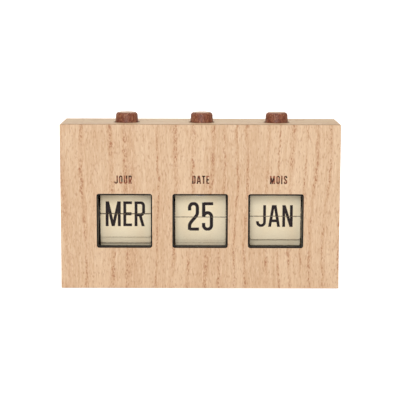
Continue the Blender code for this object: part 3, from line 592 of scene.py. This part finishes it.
LIGHT_WOOD = rgb(236, 213, 185)
PALE_WOOD = rgb(225, 197, 166)
MEAN_WOOD = rgb(216, 185, 153)
STREAK_WOOD = rgb(202, 165, 130)
RING_WOOD = rgb(205, 164, 127)
PORE_WOOD = rgb(166, 108, 74)
END_WOOD = rgb(190, 160, 122)
END_PORE = rgb(150, 116, 82)
EDGE_WOOD = rgb(205, 160, 118)
# duller tone painted on boards that lie flat, as shade
FLAT_SHADE_WOOD = rgb(206, 190, 158)
BUTTON_DARK = rgb(124, 66, 46)
BUTTON_MEAN = rgb(148, 92, 70)
BUTTON_PALE = rgb(184, 132, 100)
BUTTON_PORE = rgb(84, 38, 26)
# paler top of the button: end grain tone with a painted reflection
BUTTON_TOP_GRAIN_AND_REFLECTION = rgb(192, 160, 124)
CARD_PALE = rgb(255, 244, 214)
CARD_MEAN = rgb(252, 237, 204)
# brown for specks on the card, and for the painted shadow along its edges
CARD_SPECK_AND_EDGE_SHADE = rgb(138, 100, 64)
INK_DARK = rgb(36, 29, 32)
INK_PALE = rgb(54, 46, 48)
SCORCH_RED = rgb(152, 88, 62)
SCORCH_DARK = rgb(44, 26, 26)
SCORCH_PALE = rgb(176, 116, 80)
DUST_COLOUR = rgb(150, 140, 128)

STAND_TURN = (0.0, 0.0, 0.0)
SIDE_TURN = (0.0, 0.0, pi / 2)
FLAT_TURN = (0.0, pi / 2, 0.0)
FRONT_TIMBER = timber("front_timber", STAND_TURN)
BACK_TIMBER = timber("back_timber", STAND_TURN, (0.31, 0.07, 0.4))
SIDE_TIMBER = timber("side_timber", SIDE_TURN, (0.52, 0.21, 0.1))
# lid and floor boards: a 0.4 share of the painted shade tone, and fainter pores
FLAT_TIMBER = timber("flat_timber", FLAT_TURN, (0.77, 0.33, 0.2), 0.4, 0.55)
BUTTON_TIMBER = button_timber()
BLACK_RIM = plastic("black_rim", rgb(8, 6, 9), rgb(15, 12, 15), 0.42, 0.12, 0.2)
BLACK_FRAME = plastic("black_frame", rgb(26, 26, 28), rgb(38, 37, 39), 0.5)
BLACK_MOVING = plastic("black_moving", rgb(30, 30, 33), rgb(44, 43, 46), 0.42)
LEAF_CARD = leaf_card()
LEAF_INK = ink()
SCORCHED = scorched()
BRASS = metal("brass", rgb(168, 124, 62), rgb(222, 182, 108), 0.34)
STEEL = metal("steel", rgb(140, 140, 144), rgb(204, 205, 208), 0.30)


# ---- letters ------------------------------------------------------------------------------
def arc(middle, radius, start, end, steps=10):
    """Points on an arc; start and end are in quarter turns from +X, anticlockwise."""
    angles = [pi / 2 * (start + (end - start) * step / steps) for step in range(steps + 1)]
    return [(middle[0] + radius * cos(angle), middle[1] + radius * sin(angle)) for angle in angles]


def sweep(start, end, steps=10):
    """Points on a smooth S from start to end, upright at both."""
    points = []
    for step in range(steps + 1):
        share = step / steps
        ease = share * share * (3 - 2 * share)
        points.append((start[0] + (end[0] - start[0]) * ease, start[1] + (end[1] - start[1]) * share))
    return points


def slant(foot, head, over):
    """A straight stroke between two places on the foot and head lines, run past both."""
    lean = head - foot
    return [(foot - over * lean, -over), (head + over * lean, 1 + over)]


def letter_strokes(letter, width, stroke):
    """Centre lines of the strokes of one condensed letter, 1 high, with its foot at 0."""
    half = stroke / 2
    left, right, middle = half, width - half, width / 2
    foot, head = half - OVERRUN, 1 - half + OVERRUN
    radius = (width - stroke) / 2
    corner = 0.85 * radius
    over_top = arc((middle, head - radius), radius, 2, 0)
    under = arc((middle, foot + radius), radius, 0, -2)
    stem = [(left, -half), (left, 1 + half)]
    far_stem = [(right, -half), (right, 1 + half)]
    top_bar = [(half, head), (width, head)]
    foot_bar = [(half, foot), (width, foot)]

    def bowl(low):
        return [(half, head), (right - corner, head), *arc((right - corner, head - corner), corner, 1, 0),
                *arc((right - corner, low + corner), corner, 0, -1), (half, low)]

    six = [[(right, 0.74), *reversed(over_top), (left, 0.45)],
           [(left, 0.55), *reversed(under), *arc((middle, 0.585 - radius), radius, 0, 2)]]
    drawn = {
        "A": [slant(half, middle - 0.3 * stroke, stroke),
              slant(width - half, middle + 0.3 * stroke, stroke),
              [(0.2 * width, 0.28), (0.8 * width, 0.28)]],
        "C": [[(left, 0.45), *over_top, (right, 0.66)], [(right, 0.34), *under, (left, 0.55)]],
        "D": [stem, bowl(foot)],
        "E": [stem, top_bar, [(half, 0.5), (0.94 * width, 0.5)], foot_bar],
        "F": [stem, top_bar, [(half, 0.5), (0.9 * width, 0.5)]],
        "I": [[(middle, -half), (middle, 1 + half)]],
        "J": [[(right, 1 + half), *under, (left, foot + radius + 0.04)]],
        "L": [stem, foot_bar],
        "M": [stem, far_stem, slant(middle, left + 0.15 * stroke, stroke),
              slant(middle, right - 0.15 * stroke, stroke)],
        "N": [stem, far_stem, slant(right - 0.1 * stroke, left + 0.1 * stroke, stroke)],
        "O": [[(left, 0.45), *over_top, (right, 0.45)], [(right, 0.55), *under, (left, 0.55)]],
        "P": [stem, bowl(0.43)],
        "R": [stem, bowl(0.46), [(0.5 * width, 0.5), (right + 0.15 * stroke, -stroke)]],
        "S": [[(right, 0.72), *reversed(over_top), *sweep((left, 0.70), (right, 0.30)), *under,
               (left, 0.28)]],
        "T": [[(middle, -half), (middle, 1 + half)], [(0, head), (width, head)]],
        "U": [[(left, 1 + half), *reversed(under), (right, 1 + half)]],
        "V": [slant(middle - 0.3 * stroke, half, stroke),
              slant(middle + 0.3 * stroke, width - half, stroke)],
        "1": [[(0.66 * width, -half), (0.66 * width, 1 + half)],
              [(0.66 * width, 0.97), (0.08 * width, 0.8)]],
        "2": [[(left, 0.71), *over_top, *sweep((right, 0.63), (left, 0.17)), (left, 0.5 * foot)],
              foot_bar],
        "3": [[(left, 0.72), *over_top, *arc((right - corner, 0.51 + corner), corner, 0, -1),
               (0.3 * width, 0.51)],
              [(0.3 * width, 0.51), *arc((right - corner, 0.51 - corner), corner, 1, 0), *under,
               (left, 0.28)]],
        "4": [[(0.72 * width, -half), (0.72 * width, 1 + half)],
              [(0.72 * width, 1 + OVERRUN), (half, 0.24)],
              [(0.06 * width, 0.24), (width, 0.24)]],
        "5": [top_bar, [(left, head + 0.6 * half), (left, 0.49)],
              [(left, 0.49), *arc((middle, 0.63 - radius), radius, 2, 0), *under, (left, 0.27)]],
        "6": six,
        "7": [top_bar, [(right, head), (0.34 * width, -stroke)]],
        "8": [[(left, 0.74), *over_top, (right, 0.74)],
              [(right, 0.78), *arc((middle, 0.50 + radius), radius, 0, -2), (left, 0.78)],
              [(left, 0.25), *arc((middle, 0.545 - radius), radius, 2, 0), (right, 0.25)],
              [(right, 0.29), *under, (left, 0.29)]],
        "9": [[(width - x, 1 - z) for x, z in line] for line in six],
    }
    drawn["0"] = drawn["O"]
    return drawn[letter]


def stroke_outline(line, stroke):
    """The outline of a stroke of even width about its centre line."""
    points = [Vector(point) for point in line]
    points = [p for n, p in enumerate(points) if n == 0 or (p - points[n - 1]).length > 0.0001]
    near, far = [], []
    for number, point in enumerate(points):
        come = (point - points[number - 1]).normalized() if number else None
        leave = (points[number + 1] - point).normalized() if number + 1 < len(points) else None
        heading = ((come or leave) + (leave or come)).normalized()
        reach = stroke / 2 / max(0.4, heading.dot(come or leave))
        aside = Vector((-heading.y, heading.x)) * reach
        near.append(point + aside)
        far.append(point - aside)
    return near + far[::-1]


def make_letter(letter, stroke):
    """One letter as a closed solid, 1 high and 1 thick, standing in the XZ plane."""
    width = WIDTHS.get(letter, DIGIT_WIDTH)
    solid = None
    for line in letter_strokes(letter, width, stroke):
        curve = bpy.data.curves.new("stroke", "CURVE")
        curve.dimensions = "2D"
        curve.fill_mode = "BOTH"
        curve.extrude = 0.5
        spline = curve.splines.new("POLY")
        outline = stroke_outline(line, stroke)
        spline.points.add(len(outline) - 1)
        for point, spot in zip(spline.points, outline):
            point.co = (spot.x, spot.y, 0, 1)
        spline.use_cyclic_u = True
        select_only(add_object("stroke", curve))
        bpy.ops.object.convert(target="MESH")
        piece = bpy.context.active_object
        with edit(piece):
            bpy.ops.mesh.select_all(action="SELECT")
            bpy.ops.mesh.remove_doubles(threshold=TINY)
            bpy.ops.mesh.normals_make_consistent(inside=False)
        if solid is None:
            solid = piece
        else:
            combine(solid, piece, "UNION")
    trim(solid, (0, 0, 0), (0, 1, 0), True)
    trim(solid, (0, 1, 0), (0, 1, 0), False)
    solid.data.transform(Matrix.Rotation(pi / 2, 4, "X"))
    return solid


def trim(piece, place_on_plane, normal, keep_above):
    """Cut a piece along a plane, keep one side and close it."""
    with edit(piece):
        bpy.ops.mesh.select_all(action="SELECT")
        bpy.ops.mesh.bisect(plane_co=place_on_plane, plane_no=normal, use_fill=True,
                            clear_inner=keep_above, clear_outer=not keep_above, threshold=0.000001)


LETTERS = {}                  # the mesh of each letter made so far, by letter and stroke


def letter_mesh(letter, stroke):
    if (letter, stroke) not in LETTERS:
        made = make_letter(letter, stroke)
        LETTERS[letter, stroke] = made.data
        bpy.data.objects.remove(made)
    return LETTERS[letter, stroke]


def make_word(name, text, height, stroke, length, middle, depth):
    """Letters spread evenly over a length and centred on a place, facing -Y."""
    widths = [WIDTHS.get(letter, DIGIT_WIDTH) for letter in text]
    gap = (length / height - sum(widths)) / max(1, len(text) - 1)
    start = -(sum(widths) + gap * (len(text) - 1)) / 2
    pieces = []
    for letter, width in zip(text, widths):
        mesh = letter_mesh(letter, stroke).copy()
        size = Matrix.Diagonal((height, depth, height, 1))
        mesh.transform(Matrix.Translation(Vector(middle) + Vector((start * height, 0, 0))) @ size)
        pieces.append(add_object("letter", mesh))
        start += width + gap
    word = join(pieces)
    word.name = name
    return word


# ---- case ---------------------------------------------------------------------------------
def make_board(node, material, grow_low=(0, 0, 0), grow_high=(0, 0, 0)):
    """A board with softly rounded edges; it grows towards the boards that it is glued to."""
    low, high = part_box(node)
    board = cube(f"{node}_board", low - GLUE_LINE * Vector(grow_low), high + GLUE_LINE * Vector(grow_high))
    with edit(board, "EDGE"):
        bpy.ops.mesh.select_all(action="SELECT")
        bevel(EASED_EDGE, 3)
    paint(board, material)
    return board


def finish_board(board, node):
    shade(board)
    finish(board, None, "case", "case_wood", node)


def button_holes():
    """Middle and radius of each hole in the lid."""
    for name in MODULES:
        low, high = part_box(f"{name}_button")
        yield (low + high) / 2, (high.x - low.x) / 2 - RING_UNDER_LID + HOLE_CHAMFER


def rim_box(name):
    """Outer corners of the rim of a bezel, on the front face."""
    low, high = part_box(f"{name}_bezel")
    cover = Vector((FLANGE_COVER_X, 0, FLANGE_COVER_Z))
    return low + cover, high - cover


def make_front_panel():
    board = make_board("front_panel", FRONT_TIMBER)
    low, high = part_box("front_panel")
    for name in MODULES:
        rim_low, rim_high = rim_box(name)
        gap = Vector((RIM_GAP, 0, RIM_GAP))
        past = Vector((0, EASED_EDGE, 0))
        window = rounded_block("window", Vector((rim_low.x, low.y, rim_low.z)) - gap - past,
                               Vector((rim_high.x, high.y, rim_high.z)) + gap + past,
                               RIM_CORNER + RIM_GAP, "Y")
        combine(board, window, material=FRONT_TIMBER)
    board.data.materials.append(SCORCHED)
    for text, middle, width in LABELS:
        word = make_word("label", text, LABEL_HEIGHT, LABEL_STROKE, width, (middle, low.y, LABEL_FOOT),
                         2 * LABEL_DEPTH)
        combine(board, word, material=SCORCHED)
    finish_board(board, "front_panel")


def make_top_panel():
    board = make_board("top_panel", FLAT_TIMBER, (0, 1, 0))
    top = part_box("top_panel")[1].z
    for middle, radius in button_holes():
        hole = cylinder("hole", (middle.x, middle.y, top), radius, 3 * CUT_PAST, "Z", 64)
        combine(board, hole, material=FLAT_TIMBER)
    with edit(board, "EDGE"):
        pick("edges", lambda edge: on_hole_rim(edge, top))
        bevel(HOLE_CHAMFER, 2)
    finish_board(board, "top_panel")


def on_hole_rim(edge, top):
    """Whether both ends of an edge lie on the upper rim of a hole."""
    for end in (vert.co for vert in edge.verts):
        off = min(abs((end.xy - middle.xy).length - radius) for middle, radius in button_holes())
        if abs(end.z - top) > TINY or off > 2 * TINY:
            return False
    return True


def make_plain_boards():
    for node, material, grow_low, grow_high in (
            ("left_panel", SIDE_TIMBER, (0, 1, 0), (0, 1, 1)),
            ("right_panel", SIDE_TIMBER, (0, 1, 0), (0, 1, 1)),
            ("bottom_panel", FLAT_TIMBER, (1, 1, 0), (1, 1, 0))):
        finish_board(make_board(node, material, grow_low, grow_high), node)
    board = make_board("back_panel", BACK_TIMBER, (0, 0, 0), (0, 0, 1))
    for screw in BACK_SCREWS:
        low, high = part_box(screw)
        middle = (low + high) / 2
        radius = (high.x - low.x) / 2 + RIM_GAP
        seat_floor = high.y - SCREW_HEAD_HEIGHT - RIM_GAP
        seat = cylinder("seat", (middle.x, seat_floor + CUT_PAST / 2, middle.z), radius, CUT_PAST, "Y")
        combine(board, seat, material=BACK_TIMBER)
        hole = cylinder("hole", (middle.x, seat_floor, middle.z), SCREW_HOLE, 2 * CUT_PAST, "Y", 24)
        combine(board, hole, material=BACK_TIMBER)
    finish_board(board, "back_panel")


def make_screw(node, radius):
    """A pan-head screw that points to -Y, with a cross recess and a pointed tip."""
    low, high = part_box(node)
    middle = (low + high) / 2
    head_radius = (high.x - low.x) / 2
    head_floor = high.y - SCREW_HEAD_HEIGHT
    head_middle = (middle.x, head_floor + SCREW_HEAD_HEIGHT / 2, middle.z)
    screw = cylinder(f"{node}_turned", head_middle, head_radius, SCREW_HEAD_HEIGHT, "Y", 40)
    with edit(screw):
        pick("faces", facing(0, 1, 0))
        bevel(0.55 * SCREW_HEAD_HEIGHT, 5)
        pick("faces", facing(0, -1, 0))
        bpy.ops.mesh.inset(thickness=head_radius - radius)
        shank = head_floor - low.y
        for length, size in SCREW_POINT:
            extrude(0, -length * shank, 0)
            if size < 1:
                bpy.ops.transform.resize(value=(size, 1, size), center_override=middle)
    top = Vector((middle.x, high.y, middle.z))
    for wide, tall in (CROSS, CROSS[::-1]):
        half = Vector((wide * head_radius, 0.5 * SCREW_HEAD_HEIGHT, tall * head_radius))
        combine(screw, cube("recess", top - half, top + half + Vector((0, SCREW_HEAD_HEIGHT, 0))))
    shade(screw)
    finish(screw, STEEL, "case", "steel", node)


# ---- module pieces ------------------------------------------------------------------------
def make_bezel(name):
    """Moulded surround: a rim with round corners, a flange behind the board and a skirt."""
    low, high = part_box(f"{name}_bezel")
    rim_low, rim_high = rim_box(name)
    flange_front = low.y + FLANGE_FRONT
    flange_back = flange_front + FLANGE_THICKNESS
    skirt_top = rim_high.z - SKIRT_TOP
    bezel = rounded_block(f"{name}_bezel_moulded", (rim_low.x, low.y, rim_low.z),
                          (rim_high.x, flange_back - RIM_END, rim_high.z), RIM_CORNER, "Y")
    combine(bezel, cube("flange", (low.x, flange_front, low.z), (high.x, flange_back, high.z)), "UNION")
    inner_low = Vector((rim_low.x + RIM_WALL, low.y - CUT_PAST, rim_low.z + RIM_BAR))
    inner_high = Vector((rim_high.x - RIM_WALL, high.y + CUT_PAST, rim_high.z - RIM_BAR))
    for left, right in ((inner_low.x - SKIRT_WALL, inner_low.x + SKIRT_LAP),
                        (inner_high.x - SKIRT_LAP, inner_high.x + SKIRT_WALL)):
        combine(bezel, cube("skirt", (left, flange_back - SKIRT_LAP, rim_low.z + SKIRT_FOOT),
                            (right, high.y, skirt_top)), "UNION")
    combine(bezel, rounded_block("opening", inner_low, inner_high, RIM_CORNER - RIM_WALL, "Y"))
    room_low = (inner_low.x, low.y + LEAF_ROOM_FRONT, skirt_top - 0.001)
    room_high = (inner_high.x, high.y + CUT_PAST, rim_high.z + RIM_BAR + RIM_GAP + 0.0001)
    combine(bezel, cube("leaf_room", room_low, room_high))
    round_edges(bezel, BEZEL_ROUNDING)
    shade(bezel)
    finish(bezel, BLACK_RIM, "case", "black_bezel", f"{name}_bezel")


def make_button(name):
    """A turned cap: ring under the lid, slightly flared foot, tapered side and rounded top."""
    low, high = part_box(f"{name}_button")
    middle = (low + high) / 2
    ring = (high.x - low.x) / 2
    side = ring - RING_UNDER_LID - BUTTON_GAP
    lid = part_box("top_panel")[1].z
    button = cylinder(f"{name}_button_cap", (middle.x, middle.y, low.z + RING_HEIGHT / 2), ring,
                      RING_HEIGHT, "Z", 72)
    with edit(button):
        pick("faces", facing(0, 0, 1))
        bpy.ops.mesh.inset(thickness=ring - side)
        level, radius = low.z + RING_HEIGHT, side
        stations = [(lid + above, side - inward) for above, inward in BUTTON_TAPER]
        for next_level, next_radius in [*stations, (high.z, side - BUTTON_CROWN)]:
            extrude(0, 0, next_level - level)
            share = next_radius / radius
            bpy.ops.transform.resize(value=(share, share, 1),
                                     center_override=(middle.x, middle.y, next_level))
            level, radius = next_level, next_radius
        bevel(BUTTON_ROUND, 8)
        pick("faces", facing(0, 0, -1))
        bpy.ops.mesh.inset(thickness=ring - SOCKET_RADIUS)
        extrude(0, 0, SOCKET_DEPTH)
    shade(button, 40)
    finish(button, BUTTON_TIMBER, f"{name}_plunger_body", "button_wood", f"{name}_button")


def make_return_spring(name):
    """A coil of round wire with closed ends."""
    low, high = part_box(f"{name}_return_spring")
    middle = (low + high) / 2
    radius = (high.x - low.x) / 2 - SPRING_WIRE
    bpy.ops.object.select_all(action="DESELECT")
    bpy.ops.mesh.primitive_circle_add(vertices=SPRING_CORNERS, radius=SPRING_WIRE,
                                      rotation=(pi / 2, 0, 0), location=(radius, 0, low.z + SPRING_WIRE))
    spring = name_new(f"{name}_return_coil")
    spring.location = (middle.x, middle.y, 0)
    coil = spring.modifiers.new("coil", "SCREW")
    coil.iterations = SPRING_TURNS
    coil.screw_offset = (high.z - low.z - 2 * SPRING_WIRE) / SPRING_TURNS
    coil.steps = SPRING_STEPS
    select_only(spring)
    bpy.ops.object.modifier_apply(modifier=coil.name)
    bpy.ops.object.transform_apply(location=True, rotation=True, scale=True)
    with edit(spring):
        bpy.ops.mesh.select_all(action="SELECT")
        bpy.ops.mesh.fill_holes(sides=0)
        bpy.ops.mesh.select_all(action="SELECT")
        bpy.ops.mesh.normals_make_consistent(inside=False)
    shade(spring, 60)
    finish(spring, STEEL, "case", "steel", f"{name}_return_spring")
    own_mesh(spring)


def make_leaf_blank(name, tail, width, length):
    """A leaf about its hinge at the origin: round far corners and an ear on each side."""
    side = width / 2
    leaf = cube(f"{name}_blank", (-side, -LEAF_HALF_THICKNESS, -tail),
                (side, LEAF_HALF_THICKNESS, length - tail))
    with edit(leaf, "EDGE"):
        pick("edges", lambda edge: min(vert.co.z for vert in edge.verts) > length - tail - TINY
             and abs(edge.verts[0].co.x - edge.verts[1].co.x) < TINY)
        bevel(LEAF_CORNER, 6)
    ears = cube("ears", (-side - EAR_LENGTH, -LEAF_HALF_THICKNESS, -EAR_HALF_HEIGHT),
                (side + EAR_LENGTH, LEAF_HALF_THICKNESS, EAR_HALF_HEIGHT))
    combine(leaf, ears, "UNION")
    round_edges(leaf, LEAF_ROUNDING, 1)
    paint(leaf, LEAF_CARD, LEAF_INK)
    shade(leaf)
    return leaf


def make_print(text, module, hinge, cut, upper):
    """Half of a word in a leaf's own frame, on its front or, turned over, on its back."""
    _, _, foot, height, stroke, middle = MODULES[module]
    face = LEAF_HALF_THICKNESS + INK_THICKNESS / 2
    widths = [WIDTHS.get(letter, DIGIT_WIDTH) for letter in text]
    length = height * (sum(widths) + LETTER_GAP * (len(text) - 1))
    word = make_word("print", text, height, stroke, length, (middle - hinge.x, -face, foot - hinge.z),
                     INK_THICKNESS)
    trim(word, (0, 0, cut), (0, 0, 1), upper)
    if not upper:
        word.data.transform(Matrix.Rotation(pi, 4, "X"))
    paint(word, LEAF_INK)
    return word


def make_leaves(name):
    """All leaves of a module, each printed with the halves of two words that follow each other."""
    leaves, words, *_ = MODULES[name]
    axle = Vector(JOINTS[f"{name}_drum_step"]["pos_m"])
    top_hinge = Vector(JOINTS[f"{name}_leaf_fall"]["pos_m"])
    front_hinge = Vector(JOINTS[f"{name}_leaf_hang"]["pos_m"])
    low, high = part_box(f"{name}_top_leaf")
    tail = top_hinge.z - low.z
    width = high.x - low.x - 2 * EAR_LENGTH
    blank = make_leaf_blank(name, tail, width, high.z - low.z)
    circle = (top_hinge - axle).length
    first = atan2(top_hinge.z - axle.z, axle.y - top_hinge.y)
    turn = 2 * pi / leaves
    prints = {}
    for number, text in enumerate(words):
        prints[number, True] = make_print(text, name, top_hinge, INK_MARGIN - tail, True)
        prints[number, False] = make_print(text, name, front_hinge, tail - INK_MARGIN, False)
    for number in range(leaves):
        parts = [prints[number % len(words), True], prints[(number + 1) % len(words), False], blank]
        copies = []
        for part in parts:
            copy = part.copy()
            copy.data = part.data.copy()
            bpy.context.scene.collection.objects.link(copy)
            copies.append(copy)
        leaf = join(copies)
        leaf.name = leaf.data.name = f"{name}_leaf_{number + 1:02d}"
        angle = first + number * turn
        lean = pi if number == leaves - 1 else min(number * turn, pi)
        hinge = Vector((top_hinge.x, axle.y - circle * cos(angle), axle.z + circle * sin(angle)))
        leaf.data.transform(Matrix.Translation(hinge) @ Matrix.Rotation(-lean, 4, "X"))
        if number == 0:
            body, node = f"{name}_top_leaf_body", f"{name}_top_leaf"
        elif number == leaves - 1:
            body, node = f"{name}_front_leaf_body", f"{name}_front_leaf"
        else:
            body, node = f"{name}_drum_body", f"{name}_leaf_pack"
        finish(leaf, None, body, "cream_leaf", node)
    for piece in [blank, *prints.values()]:
        bpy.data.objects.remove(piece)


def dress_nodes(name):
    """Materials of the mechanism, whose shapes are carried over."""
    for ending, material in (("chassis", BLACK_FRAME), ("axle", STEEL), ("drum", BLACK_MOVING),
                             ("ratchet", BRASS), ("plunger", BLACK_MOVING), ("drive_arm", STEEL),
                             ("pawl", BRASS), ("detent_spring", STEEL), ("leaf_catch", STEEL)):
        paint(frame["nodes"][f"{name}_{ending}"], material)


# ---- stage, light and camera --------------------------------------------------------------
FLOOR_DROP = 0.0002
FLOOR_SIZE = 6.0
BACKDROP_HEIGHT = 3.0
BACKDROP_BEND = 1.2
FLOOR_GLOW = 0.7              # as the camera sees it
FLOOR_BOUNCE = 0.26           # extra light that the floor gives to the calendar
WORLD_LIGHT = 0.40
WORLD_TINT = (1.0, 0.84, 0.70, 1.0)
LIGHTS = (                    # name, place, width of the lamp, power
    ("key", (-0.15, -1.9, 0.85), 0.9, 18.0),
    ("top", (-0.05, 0.1, 1.6), 1.2, 7.2),
    ("back", (-0.3, 1.8, 0.7), 1.2, 5.0),
)

CAMERA_TARGET = Vector((0.0, 0.0, 0.05925))
CAMERA_DISTANCE = 0.994
CAMERA_ELEVATION = radians(8.54)
CAMERA_AZIMUTH = radians(-0.10)
CAMERA_ROLL = radians(0.15)
CAMERA_LENS = 121.8
CAMERA_SHIFT = (-0.00025, 0.005)


def make_stage():
    """A pale floor that curves up into a backdrop."""
    bpy.ops.object.select_all(action="DESELECT")
    bpy.ops.mesh.primitive_plane_add(size=FLOOR_SIZE, location=(0, 0, -FLOOR_DROP))
    floor = name_new("studio_floor")
    with edit(floor, "EDGE"):
        far = FLOOR_SIZE / 2 - 0.01
        pick("edges", lambda edge: min(vert.co.y for vert in edge.verts) > far)
        extrude(0, 0, BACKDROP_HEIGHT)
        pick("edges", lambda edge: all(vert.co.y > far and vert.co.z < 0.01 for vert in edge.verts))
        bevel(BACKDROP_BEND, 16)
    select_only(floor)
    bpy.ops.object.shade_smooth()
    material, tree, shader, _, vector = new_material("studio_paper")
    paper = noise(tree, stretched(tree, vector, (3, 3, 3)), 2.0)
    colour = mix(tree, paper, rgb(234, 234, 233), rgb(228, 228, 227))
    seen = place(tree, "ShaderNodeLightPath").outputs["Is Camera Ray"]
    wire(tree, shader, Base_Color=colour, Roughness=0.8, Emission_Color=(1, 1, 1, 1),
         Emission_Strength=rise(tree, seen, 0.0, 1.0, FLOOR_BOUNCE, FLOOR_GLOW))
    paint(floor, material)


def make_lights():
    world = bpy.data.worlds.new("studio")
    bpy.context.scene.world = world
    world.use_nodes = True
    tree = world.node_tree
    seen = place(tree, "ShaderNodeLightPath").outputs["Is Camera Ray"]
    feed(tree, tree.nodes["Background"].inputs,
         {"Color": mix(tree, seen, WORLD_TINT, (1, 1, 1, 1)),
          "Strength": rise(tree, seen, 0.0, 1.0, WORLD_LIGHT, 1.0)})
    for name, spot, size, power in LIGHTS:
        data = bpy.data.lights.new(name, "AREA")
        data.size = size
        data.energy = power
        light = add_object(name, data)
        light.location = spot
        light.rotation_euler = (CAMERA_TARGET - Vector(spot)).to_track_quat("-Z", "Y").to_euler()


def make_camera():
    level = cos(CAMERA_ELEVATION)
    away = Vector((sin(CAMERA_AZIMUTH) * level, -cos(CAMERA_AZIMUTH) * level, sin(CAMERA_ELEVATION)))
    data = bpy.data.cameras.new("camera")
    data.sensor_width = 36.0
    data.lens = CAMERA_LENS
    data.shift_x, data.shift_y = CAMERA_SHIFT
    camera = add_object("camera", data)
    camera.location = CAMERA_TARGET + away * CAMERA_DISTANCE
    aim = (-away).to_track_quat("-Z", "Y").to_matrix()
    camera.rotation_euler = (aim @ Matrix.Rotation(CAMERA_ROLL, 3, "Z")).to_euler()
    bpy.context.scene.camera = camera


make_front_panel()
make_top_panel()
make_plain_boards()
for screw in BACK_SCREWS:
    make_screw(screw, SCREW_SHANK["back"])
for module in MODULES:
    make_screw(f"{module}_chassis_screw", SCREW_SHANK["chassis"])
    make_bezel(module)
    make_button(module)
    make_return_spring(module)
    make_leaves(module)
    dress_nodes(module)
make_stage()
make_lights()
make_camera()
bpy.context.scene.view_settings.view_transform = "Standard"
